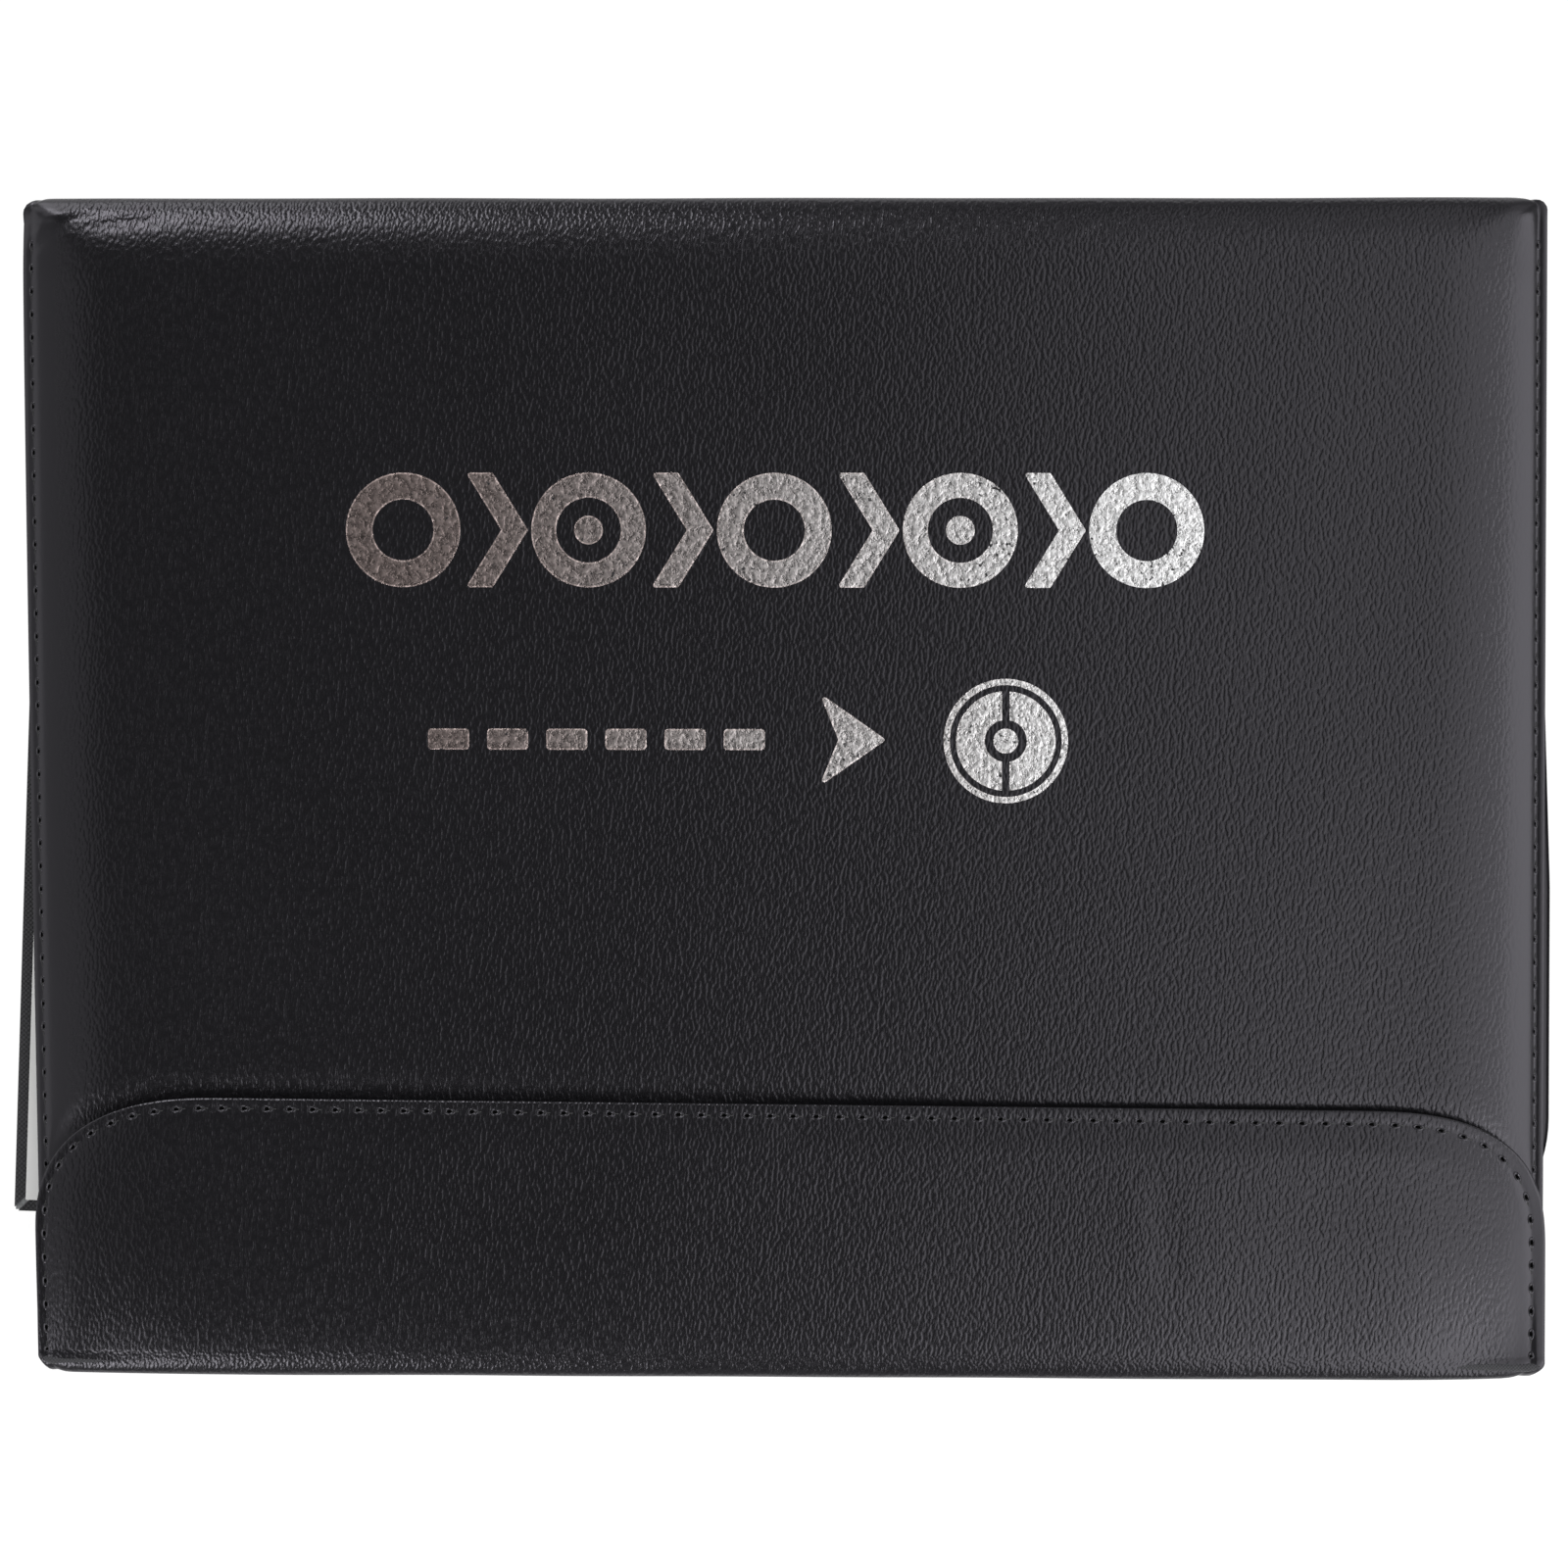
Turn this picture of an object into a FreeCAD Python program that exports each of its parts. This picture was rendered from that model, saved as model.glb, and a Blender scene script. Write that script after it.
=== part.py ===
import FreeCAD
import Part
import math
import os

# Folding tactics board in a leather folder, lying closed on its back.
# X runs across the folder, Y from the bottom fold to the top fold, Z out of the front cover.
# The origin is the centre of the back panel's outer face. All lengths are in millimetres.

Vector = FreeCAD.Vector

# Folder
folder_width = 320.0
folder_height = 248.0
cavity_depth = 10.0
fold_radius = 5.5
crease_gap = 0.15
cut_overrun = 1.0

# Sheets and boards
leather_thickness = 0.9
lining_thickness = 0.4
stiffener_thickness = 1.6
spine_stiffener_thickness = 1.2
foam_thickness = 2.2
seam_width = 3.2
board_margin = 4.0
hem_reach = 2.0

# Front cover
cover_end_gap = 1.5
cover_corner_radius = 20.0

# Document pocket inside the cover
pocket_thickness = 0.9
pocket_left_inset = 6.0
pocket_right_overhang = 0.6
pocket_end_gap = 25.0
pocket_mouth_gap = 26.0
pocket_corner_radius = 30.0

# Flap and its magnetic catch
flap_reach = 57.4
flap_corner_radius = 31.0
flap_clearance = 0.4
flap_stiffener_thickness = 1.0
flap_crown_radius = 0.8
catch_from_side = 70.0
catch_radius = 9.0
catch_plate_thickness = 0.8
catch_from_edge = 21.0

# Pitch board, a stiff board bound in cloth that lies a little askew
board_side_allowance = 4.0
board_top_gap = 8.8
marker_channel = 33.2
board_overhang = 4.0
board_core_thickness = 1.6
board_steel_thickness = 0.3
board_face_thickness = 0.3
binding_thickness = 0.3
binding_turn_in = 2.4
board_skew_deg = 1.76

# Player counters
counter_radius = 8.0
counter_height = 5.0
counter_lift = 0.05
ball_radius = 5.0
ball_height = 4.0
field_end_margin = 13.0
field_side_margin = 9.0

# Marker pen with a cap and a felt eraser
marker_radius = 4.4
barrel_length = 86.0
nose_radius = 3.7
nose_length = 18.0
nib_radius = 1.4
nib_length = 6.0
ink_core_radius = 2.8
ink_core_length = 70.0
plug_radius = 3.6
plug_length = 9.0
plug_rim_length = 2.5
cap_length = 44.0
cap_end_wall = 1.5
cap_clearance = 0.1
clip_width = 3.0
clip_thickness = 1.0
clip_length = 30.0
clip_gap = 0.9
eraser_radius = 4.0
eraser_length = 5.0
eraser_socket_depth = 1.0
marker_from_fold = 15.0
barrel_start_x = -18.0

# Elastic loops that hold the marker
loop_thickness = 0.6
loop_clearance = 0.2
loop_width = 14.0
loop_tab_length = 5.0
loop_offset = 14.0

# Heights of the layers, from the table up
half_width = folder_width / 2
top_face_y = folder_height / 2
bottom_face_y = -folder_height / 2
back_board_top = leather_thickness + stiffener_thickness
back_top = back_board_top + lining_thickness
pocket_bottom = back_top + cavity_depth
cover_lining_bottom = pocket_bottom + pocket_thickness
cover_seam_bottom = cover_lining_bottom + lining_thickness
cover_board_top = cover_seam_bottom + stiffener_thickness
foam_top = cover_board_top + foam_thickness
cover_top = foam_top + leather_thickness
flap_bottom = cover_top + flap_clearance
flap_seam_bottom = flap_bottom + lining_thickness
flap_board_top = flap_seam_bottom + flap_stiffener_thickness
flap_top = flap_board_top + leather_thickness

# Depths from the spines' outer faces
spine_depth = leather_thickness + spine_stiffener_thickness + lining_thickness
padding_inset = seam_width + leather_thickness
board_inset = padding_inset + board_margin
top_fold_y = top_face_y - fold_radius
bottom_fold_y = bottom_face_y + fold_radius
top_hem_y = top_fold_y + hem_reach
bottom_hem_y = bottom_fold_y - hem_reach
cover_end_y = bottom_face_y + spine_depth + cover_end_gap
flap_end_y = bottom_face_y + flap_reach
cover_crown_radius = foam_thickness + leather_thickness
pocket_end_y = bottom_face_y + pocket_end_gap
pocket_mouth_y = top_face_y - pocket_mouth_gap
crease_deg = math.degrees(crease_gap / 2 / fold_radius)

# Pitch board's outline, its lower left corner and the field printed on it
board_width = folder_width - board_side_allowance
board_corner_x = -half_width - board_overhang
board_corner_y = bottom_face_y + marker_channel
board_height = top_face_y - board_top_gap - board_corner_y
field_length = board_width - 2 * field_end_margin
field_width = board_height - 2 * field_side_margin

# Heights on the pitch board
board_core_bottom = back_top + binding_thickness
board_core_top = board_core_bottom + board_core_thickness
board_steel_top = board_core_top + board_steel_thickness
board_top = board_steel_top + board_face_thickness

# Marker axis
loop_bore_radius = marker_radius + loop_clearance
marker_axis_y = bottom_face_y + marker_from_fold
marker_axis_z = back_top + loop_thickness + loop_bore_radius

parts = {}


def box(x_low, x_high, y_low, y_high, z_low, z_high):
    return Part.makeBox(x_high - x_low, y_high - y_low, z_high - z_low, Vector(x_low, y_low, z_low))


def line(start, end):
    return Part.LineSegment(start, end).toShape()


def arc(start, middle, end):
    return Part.Arc(start, middle, end).toShape()


def joined(first, *others):
    shape = first
    for other in others:
        shape = shape.fuse(other)
    return shape.removeSplitter()


def rounded_panel(x_low, x_high, free_y, fold_y, corner, z_low, z_high):
    """A flat panel whose two corners at its free edge are rounded and whose fold edge is square."""
    toward_fold = math.copysign(1, fold_y - free_y)
    shoulder_y = free_y + toward_fold * corner
    corner_cut = corner * (1 - math.sqrt(0.5))
    arc_y = free_y + toward_fold * corner_cut
    left_shoulder = Vector(x_low, shoulder_y, z_low)
    left_free = Vector(x_low + corner, free_y, z_low)
    right_free = Vector(x_high - corner, free_y, z_low)
    right_shoulder = Vector(x_high, shoulder_y, z_low)
    left_fold = Vector(x_low, fold_y, z_low)
    right_fold = Vector(x_high, fold_y, z_low)
    edges = [
        line(left_fold, left_shoulder),
        arc(left_shoulder, Vector(x_low + corner_cut, arc_y, z_low), left_free),
        line(left_free, right_free),
        arc(right_free, Vector(x_high - corner_cut, arc_y, z_low), right_shoulder),
        line(right_shoulder, right_fold),
        line(right_fold, left_fold),
    ]
    return Part.Face(Part.Wire(edges)).extrude(Vector(0, 0, z_high - z_low))


def crowned_panel(x_low, x_high, free_y, fold_y, corner, z_low, z_high, crown):
    """A rounded panel whose upper edges roll down along its sides and its free edge."""
    panel = rounded_panel(x_low, x_high, free_y, fold_y, corner, z_low, z_high)
    upper_face = max(panel.Faces, key=lambda face: face.CenterOfMass.z)
    fold_edge = min(upper_face.Edges, key=lambda edge: abs(edge.CenterOfMass.y - fold_y))
    rim = [edge for edge in upper_face.Edges if not edge.isSame(fold_edge)]
    return panel.makeFillet(crown, rim)


def leather_roll(centre_y, centre_z, start_deg, end_deg):
    """A stretch of leather bent round a fold, across the whole folder."""
    def at(radius, degrees):
        angle = math.radians(degrees)
        return Vector(-half_width, centre_y + radius * math.cos(angle), centre_z + radius * math.sin(angle))

    inner_radius = fold_radius - leather_thickness
    middle_deg = (start_deg + end_deg) / 2
    edges = [
        arc(at(fold_radius, start_deg), at(fold_radius, middle_deg), at(fold_radius, end_deg)),
        line(at(fold_radius, end_deg), at(inner_radius, end_deg)),
        arc(at(inner_radius, end_deg), at(inner_radius, middle_deg), at(inner_radius, start_deg)),
        line(at(inner_radius, start_deg), at(fold_radius, start_deg)),
    ]
    return Part.Face(Part.Wire(edges)).extrude(Vector(folder_width, 0, 0))


def make_back_panel():
    flat = box(-half_width, half_width, bottom_fold_y, top_fold_y, 0, leather_thickness)
    top_roll = leather_roll(top_fold_y, fold_radius, -90, -45 - crease_deg)
    bottom_roll = leather_roll(bottom_fold_y, fold_radius, 225 + crease_deg, 270)
    parts["back_leather"] = joined(flat, top_roll, bottom_roll)
    board_x = half_width - board_inset
    board_low_y = bottom_fold_y + board_margin
    board_high_y = top_fold_y - board_margin
    board = box(-board_x, board_x, board_low_y, board_high_y, leather_thickness, back_board_top)
    parts["back_stiffener"] = board
    lining = box(-half_width, half_width, bottom_fold_y, top_fold_y, leather_thickness, back_top)
    hem = box(-half_width, half_width, bottom_hem_y, top_hem_y, back_board_top, back_top)
    parts["back_lining"] = joined(lining, hem).cut(board)


def make_spine(name, outer_y, height, inward, roll_angles):
    """One wall of the wrap between two folds: leather, a stiffener strip and the lining that covers it."""
    centre_y = outer_y + inward * fold_radius
    low_z = fold_radius
    high_z = height - fold_radius

    def wall(x, near, far):
        edges_y = sorted((outer_y + inward * near, outer_y + inward * far))
        return box(-x, x, edges_y[0], edges_y[1], low_z, high_z)

    low_roll = leather_roll(centre_y, low_z, *roll_angles[0])
    high_roll = leather_roll(centre_y, high_z, *roll_angles[1])
    parts[name + "_leather"] = joined(wall(half_width, 0, leather_thickness), low_roll, high_roll)
    stiffener_far = leather_thickness + spine_stiffener_thickness
    stiffener = wall(half_width - board_inset, leather_thickness, stiffener_far)
    parts[name + "_stiffener"] = stiffener
    parts[name + "_lining"] = wall(half_width, leather_thickness, spine_depth).cut(stiffener)


def make_spines():
    top_angles = ((-45 + crease_deg, 0), (0, 45 - crease_deg))
    make_spine("top_spine", top_face_y, cover_top, -1, top_angles)
    bottom_angles = ((180, 225 - crease_deg), (135 + crease_deg, 180))
    make_spine("bottom_spine", bottom_face_y, flap_top, 1, bottom_angles)


def catch_discs(y, z_low, thickness):
    catch_x = half_width - catch_from_side
    discs = [Part.makeCylinder(catch_radius, thickness, Vector(x, y, z_low)) for x in (-catch_x, catch_x)]
    return Part.makeCompound(discs)


def make_cover():
    seam_top = cover_seam_bottom + leather_thickness
    seam_x = half_width - seam_width
    inner_x = half_width - padding_inset
    board_x = half_width - board_inset
    crown_end_y = cover_end_y + seam_width
    inner_end_y = cover_end_y + padding_inset
    board_end_y = cover_end_y + board_inset
    board_fold_y = top_fold_y - board_margin
    crown_corner = cover_corner_radius - seam_width
    inner_corner = cover_corner_radius - padding_inset
    board_corner = cover_corner_radius - board_inset
    inner_crown = cover_crown_radius - leather_thickness

    board = rounded_panel(
        -board_x, board_x, board_end_y, board_fold_y, board_corner, cover_seam_bottom, cover_board_top
    )
    padding = crowned_panel(
        -inner_x, inner_x, inner_end_y, top_fold_y, inner_corner, cover_seam_bottom, foam_top, inner_crown
    )
    seam = rounded_panel(
        -half_width, half_width, cover_end_y, top_fold_y, cover_corner_radius, cover_seam_bottom, seam_top
    )
    crown = crowned_panel(
        -seam_x, seam_x, crown_end_y, top_fold_y, crown_corner, cover_seam_bottom, cover_top, cover_crown_radius
    )
    roll = leather_roll(top_fold_y, cover_top - fold_radius, 45 + crease_deg, 90)
    parts["cover_leather"] = joined(seam, crown, roll).cut(padding)

    catch_y = flap_end_y - catch_from_edge
    catch_bottom = foam_top - catch_plate_thickness
    plates = catch_discs(catch_y, catch_bottom, catch_plate_thickness)
    parts["cover_catch_plates"] = plates
    parts["cover_foam"] = padding.cut(board).cut(plates)
    parts["cover_stiffener"] = board
    lining = rounded_panel(
        -half_width, half_width, cover_end_y, top_hem_y, cover_corner_radius,
        cover_lining_bottom, cover_seam_bottom,
    )
    parts["cover_lining"] = lining


def make_pocket():
    parts["inside_pocket"] = rounded_panel(
        -half_width + pocket_left_inset, half_width + pocket_right_overhang, pocket_end_y, pocket_mouth_y,
        pocket_corner_radius, pocket_bottom, cover_lining_bottom,
    )


def make_flap():
    seam_top = flap_seam_bottom + leather_thickness
    seam_x = half_width - seam_width
    board_x = half_width - board_inset
    crown_end_y = flap_end_y - seam_width
    board_end_y = flap_end_y - board_inset
    board_fold_y = bottom_fold_y + board_margin
    seam = rounded_panel(
        -half_width, half_width, flap_end_y, bottom_fold_y, flap_corner_radius, flap_seam_bottom, seam_top
    )
    crown = crowned_panel(
        -seam_x, seam_x, crown_end_y, bottom_fold_y, flap_corner_radius - seam_width,
        flap_seam_bottom, flap_top, flap_crown_radius,
    )
    board = rounded_panel(
        -board_x, board_x, board_end_y, board_fold_y, flap_corner_radius - board_inset,
        flap_seam_bottom, flap_board_top,
    )
    roll = leather_roll(bottom_fold_y, flap_top - fold_radius, 90, 135 - crease_deg)
    parts["flap_leather"] = joined(seam, crown, roll).cut(board)
    magnets = catch_discs(flap_end_y - catch_from_edge, flap_seam_bottom, flap_stiffener_thickness)
    parts["flap_magnets"] = magnets
    parts["flap_stiffener"] = board.cut(magnets)
    parts["flap_lining"] = rounded_panel(
        -half_width, half_width, flap_end_y, bottom_hem_y, flap_corner_radius,
        flap_bottom, flap_seam_bottom,
    )


def askew(shape):
    """Moves a shape from the pitch board's own corner frame to its place in the folder."""
    shape.rotate(Vector(0, 0, 0), Vector(0, 0, 1), -board_skew_deg)
    shape.translate(Vector(board_corner_x, board_corner_y, 0))
    return shape


def board_layer(inset, z_low, z_high):
    return box(inset, board_width - inset, inset, board_height - inset, z_low, z_high)


def make_pitch_board():
    core = board_layer(binding_thickness, board_core_bottom, board_core_top)
    steel = board_layer(binding_thickness, board_core_top, board_steel_top)
    face = board_layer(binding_turn_in, board_steel_top, board_top)
    wrap = board_layer(0, back_top, board_top)
    parts["pitch_board_core"] = askew(core.copy())
    parts["pitch_steel_sheet"] = askew(steel.copy())
    parts["pitch_face_sheet"] = askew(face.copy())
    parts["pitch_board_binding"] = askew(wrap.cut(core).cut(steel).cut(face))


def formation():
    """Places of one team's counters as shares of half the field's length and width."""
    keeper_shares = [(0.93, 0.0)]
    defence_shares = [(0.72, side) for side in (-0.66, -0.22, 0.22, 0.66)]
    midfield_shares = [(0.44, side) for side in (-0.66, -0.22, 0.22, 0.66)]
    attack_shares = [(0.17, side) for side in (-0.28, 0.28)]
    return keeper_shares + defence_shares + midfield_shares + attack_shares


def make_counters():
    middle = Vector(board_width / 2, board_height / 2, board_top + counter_lift)
    for team, direction in (("home", -1), ("away", 1)):
        for number, (along_share, across_share) in enumerate(formation(), start=1):
            place = Vector(
                direction * along_share * field_length / 2, across_share * field_width / 2, 0
            )
            counter = Part.makeCylinder(counter_radius, counter_height, middle + place)
            parts[f"{team}_counter_{number:02d}"] = askew(counter)
    parts["ball_counter"] = askew(Part.makeCylinder(ball_radius, ball_height, middle))


def along_x(radius, length, start_x):
    return Part.makeCylinder(radius, length, Vector(start_x, marker_axis_y, marker_axis_z), Vector(1, 0, 0))


def make_marker():
    barrel_end_x = barrel_start_x + barrel_length
    nose_start_x = barrel_start_x - nose_length
    nib_start_x = nose_start_x - nib_length
    plug_start_x = barrel_end_x - plug_length
    core_start_x = plug_start_x - ink_core_length
    outside = joined(
        along_x(marker_radius, barrel_length, barrel_start_x), along_x(nose_radius, nose_length, nose_start_x)
    )
    core = along_x(ink_core_radius, ink_core_length, core_start_x)
    nib = along_x(nib_radius, core_start_x - nib_start_x, nib_start_x)
    plug = joined(
        along_x(plug_radius, plug_length, plug_start_x),
        along_x(marker_radius, plug_rim_length, barrel_end_x),
    )
    parts["marker_barrel"] = outside.cut(core).cut(nib).cut(plug)
    parts["marker_ink_core"] = core
    parts["marker_nib"] = nib
    parts["marker_plug"] = plug
    make_cap(nib_start_x)


def make_cap(nib_start_x):
    cap_start_x = barrel_start_x - cap_length
    bore_start_x = cap_start_x + eraser_socket_depth + cap_end_wall
    shell = along_x(marker_radius, cap_length, cap_start_x)
    bore = along_x(nose_radius + cap_clearance, cap_length, bore_start_x)
    socket = along_x(eraser_radius, eraser_socket_depth + cut_overrun, cap_start_x - cut_overrun)
    clip_low_y = marker_axis_y + marker_radius + clip_gap
    clip_low_z = marker_axis_z - clip_width / 2
    clip_high_z = clip_low_z + clip_width
    clip_high_y = clip_low_y + clip_thickness
    clip = box(cap_start_x, cap_start_x + clip_length, clip_low_y, clip_high_y, clip_low_z, clip_high_z)
    bridge_end_x = cap_start_x + clip_width
    bridge = box(cap_start_x, bridge_end_x, marker_axis_y, clip_high_y, clip_low_z, clip_high_z)
    parts["marker_cap"] = joined(shell, clip, bridge).cut(bore).cut(socket)
    parts["cap_eraser"] = along_x(eraser_radius, eraser_length, cap_start_x + eraser_socket_depth - eraser_length)


def make_loops():
    right_start_x = barrel_start_x + barrel_length - loop_offset - loop_width
    for name, start_x in (
        ("marker_loop_left", barrel_start_x + loop_offset),
        ("marker_loop_right", right_start_x),
    ):
        ring = along_x(loop_bore_radius + loop_thickness, loop_width, start_x)
        reach = loop_bore_radius + loop_thickness + loop_tab_length
        tab = box(
            start_x, start_x + loop_width, marker_axis_y - reach, marker_axis_y + reach,
            back_top, back_top + loop_thickness,
        )
        bore = along_x(loop_bore_radius, loop_width + 2 * cut_overrun, start_x - cut_overrun)
        parts[name] = joined(ring, tab).cut(bore)


def main():
    make_back_panel()
    make_spines()
    make_cover()
    make_pocket()
    make_flap()
    make_pitch_board()
    make_counters()
    make_marker()
    make_loops()
    os.makedirs("parts", exist_ok=True)
    for name, shape in parts.items():
        shape.exportStep(f"parts/{name}.step")
        print(name, len(shape.Solids), shape.isValid(), round(shape.Volume, 2))


main()
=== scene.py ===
"""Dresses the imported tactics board: leather wrap, foil, linings, pitch board, counters and marker."""

import math

import bmesh
import bpy
import numpy as np
from bpy.props import FloatProperty, FloatVectorProperty, IntProperty, PointerProperty
from mathutils import Matrix, Vector


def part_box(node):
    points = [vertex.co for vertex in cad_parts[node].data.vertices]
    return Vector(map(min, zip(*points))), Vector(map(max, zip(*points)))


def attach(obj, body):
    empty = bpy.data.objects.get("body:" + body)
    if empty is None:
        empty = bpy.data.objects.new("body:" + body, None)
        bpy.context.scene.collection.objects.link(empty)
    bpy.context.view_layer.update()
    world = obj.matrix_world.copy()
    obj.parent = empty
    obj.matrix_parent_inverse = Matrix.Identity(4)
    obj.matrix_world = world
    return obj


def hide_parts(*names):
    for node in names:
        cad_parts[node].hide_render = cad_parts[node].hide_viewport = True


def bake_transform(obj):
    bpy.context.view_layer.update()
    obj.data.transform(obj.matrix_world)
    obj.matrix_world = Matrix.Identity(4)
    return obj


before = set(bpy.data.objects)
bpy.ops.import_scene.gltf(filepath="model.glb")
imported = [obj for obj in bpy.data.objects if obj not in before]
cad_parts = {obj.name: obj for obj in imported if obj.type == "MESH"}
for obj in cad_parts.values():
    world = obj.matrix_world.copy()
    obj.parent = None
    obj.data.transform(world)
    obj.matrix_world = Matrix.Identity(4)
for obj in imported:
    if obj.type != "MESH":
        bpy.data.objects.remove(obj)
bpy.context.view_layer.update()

bl_info = {
    "name": "Folding tactics board",
    "version": (1, 0, 0),
    "blender": (4, 5, 0),
    "location": "View3D > Sidebar > Tactics board",
    "description": "Builds a leather tactics folder with its pitch board, counters and marker",
    "category": "Add Mesh",
}

MM = 0.001

# Places that the solids give
HALF_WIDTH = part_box("cover_leather")[1].x
COVER_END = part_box("cover_leather")[0].y
COVER_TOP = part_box("cover_leather")[1].z
COVER_LINING_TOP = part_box("cover_lining")[1].z
FLAP_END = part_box("flap_leather")[1].y
FLAP_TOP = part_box("flap_leather")[1].z
FLAP_LINING_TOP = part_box("flap_lining")[1].z
BACK_LINING_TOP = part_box("back_lining")[1].z
SPINE_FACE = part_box("top_spine_leather")[1].y
BOARD_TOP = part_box("pitch_board_binding")[1].z
BOARD_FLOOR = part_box("pitch_board_binding")[0].z

# Sizes that the leather shares with the solids
FOLD_RADIUS = 5.5 * MM
LEATHER = 0.9 * MM
LINING = 0.4 * MM
SPINE_BOARD = 1.2 * MM
LINING_FOLD_RADIUS = 2.4 * MM
COVER_CORNER = (20 * MM, 20 * MM)
FLAP_CORNER = (41 * MM, 28 * MM)
FLAP_RIGHT_CORNER = (40 * MM, 30 * MM)
FLAP_POWERS = (2.5, 2.8)
POCKET_CORNER = (30 * MM, 30 * MM)
ROLL_Y = SPINE_FACE - FOLD_RADIUS
LINING_WALL = SPINE_FACE - LEATHER - SPINE_BOARD
LINING_ROLL_Y = LINING_WALL - LINING_FOLD_RADIUS
COVER_FOLD_Z = COVER_TOP - FOLD_RADIUS
FLAP_FOLD_Z = FLAP_TOP - FOLD_RADIUS
TOP_SPINE_MIDDLE = (FOLD_RADIUS + COVER_FOLD_Z) / 2
BOTTOM_SPINE_MIDDLE = (FOLD_RADIUS + FLAP_FOLD_Z) / 2
COVER_FLANGE = COVER_TOP - COVER_LINING_TOP - LEATHER
FLAP_FLANGE = FLAP_TOP - FLAP_LINING_TOP - LEATHER
FLAP_EDGE = 0.35 * MM
FLAP_SKEW = (0.5 * MM, -0.0075)
SPINE_FLANGE = 0.4 * MM
BACK_LINING_FLANGE = -1.6 * MM

# Each spine's side of the folder, and the height where its upper and lower lengths of the wrap meet
SPINES = {"top_spine": (1, TOP_SPINE_MIDDLE), "bottom_spine": (-1, BOTTOM_SPINE_MIDDLE)}

# How far before its fold a panel rounds off, and the share of that which the left edge takes
COVER_SAG = (13 * MM, 0.6)
FLAP_SAG = (26 * MM, 0.55)

# Reliefs start at the first distance from a sheet's edge and take the second to reach their full depth
RELIEF_START = 1.8 * MM
RELIEF_EASE = 14 * MM

# Pressed edge at the left, how far linings stay inside the leather, and needle holes' length and width
LEFT_FLAT_EDGE = 0.3 * MM
LINING_INSET = 0.4 * MM
HOLE_SIZE = (0.66 * MM, 0.32 * MM)
FLAP_HOLE_SIZE = (0.76 * MM, 0.40 * MM)

# How the leather's grain leans and is stretched, and where it fades, in millimetres from the middle
GRAIN_LEAN = math.radians(6)
GRAIN_STRETCH = (1.58, 0.80, 1.0)
GRAIN_SIDES = (146.0, 156.0)
LOWER_GRAIN_SIDE = (-120.0, -90.0)

# Part of the cover that stays flat for the foil: across from left to right, then along from the end
FOIL_AREA = (-95 * MM, 92 * MM, 95 * MM, 192 * MM)

# The pitch board lies a little askew between the covers
BOARD_CORNER = Vector((-164.0 * MM, -90.8 * MM, 0))
BOARD_SIZE = (316 * MM, 206 * MM)
BOARD_TURN = math.radians(-1.76)
FIELD_SIZE = (290 * MM, 188 * MM)
BOARD_PLACE = Matrix.Translation(BOARD_CORNER) @ Matrix.Rotation(BOARD_TURN, 4, "Z")
BOARD_MIDDLE = BOARD_PLACE @ Vector((BOARD_SIZE[0] / 2, BOARD_SIZE[1] / 2, 0))

# Flat shapes in one plane lie a hair apart in height, and points nearer than the second length are one
SHAPE_STEP = 0.0004 * MM
SHAPE_MERGE = 0.0005 * MM

# The marker's axis and size
MARKER_Y = -109 * MM
MARKER_Z = 8.1 * MM
MARKER_RADIUS = 4.4 * MM


def length_of(name, description, default):
    return FloatProperty(name=name, description=description, default=default, unit="LENGTH", precision=5)


def colour_of(name, description, default):
    return FloatVectorProperty(
        name=name, description=description, default=default, size=3, min=0, max=1, subtype="COLOR"
    )


def radiance_of(name, lamp, default):
    return FloatProperty(name=name, description=f"Radiance of {lamp}", default=default, min=0)


class LeatherSettings(bpy.types.PropertyGroup):
    """Sizes and colours of the leather wrap and its stitching."""

    seam_inset: length_of("Seam inset", "Distance from the edge to the row of stitches", 1.9 * MM)
    flap_inset: length_of("Flap seam inset", "Distance from the flap's edge to its stitches", 2.4 * MM)
    stitch_pitch: length_of("Stitch pitch", "Distance between needle holes", 4.85 * MM)
    thread_radius: length_of("Thread radius", "Half the thread's thickness", 0.2 * MM)
    flat_edge: length_of("Flat edge", "Width of the pressed edge outside the padding", 1.8 * MM)
    cover_run: length_of("Cover slope", "Width over which the cover's padding rises", 20 * MM)
    flap_run: length_of("Flap slope", "Width over which the flap's board rises", 8 * MM)
    flap_fall: length_of("Flap fall", "How far the flap bends down at its right side", 2.6 * MM)
    flap_reach: length_of("Flap bend", "Width over which the flap bends down at its sides", 36 * MM)
    spine_run: length_of("Spine slope", "Width over which the spines rise", 4.5 * MM)
    fold_corner: length_of("Fold corner", "Radius of the wrap's corners at the folds", 2.2 * MM)
    groove: length_of("Seam groove", "Depth that the stitching pulls in", 0.18 * MM)
    lean: length_of("Lean", "How far the wrap leans in at its lower left corner", 3.6 * MM)
    colour: colour_of("Leather", "Colour of the leather", (0.0072, 0.0070, 0.0080))
    thread: colour_of("Thread", "Colour of the thread", (0.010, 0.010, 0.011))
    lining: colour_of("Lining", "Colour of the lining cloth", (0.030, 0.030, 0.034))


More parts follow.
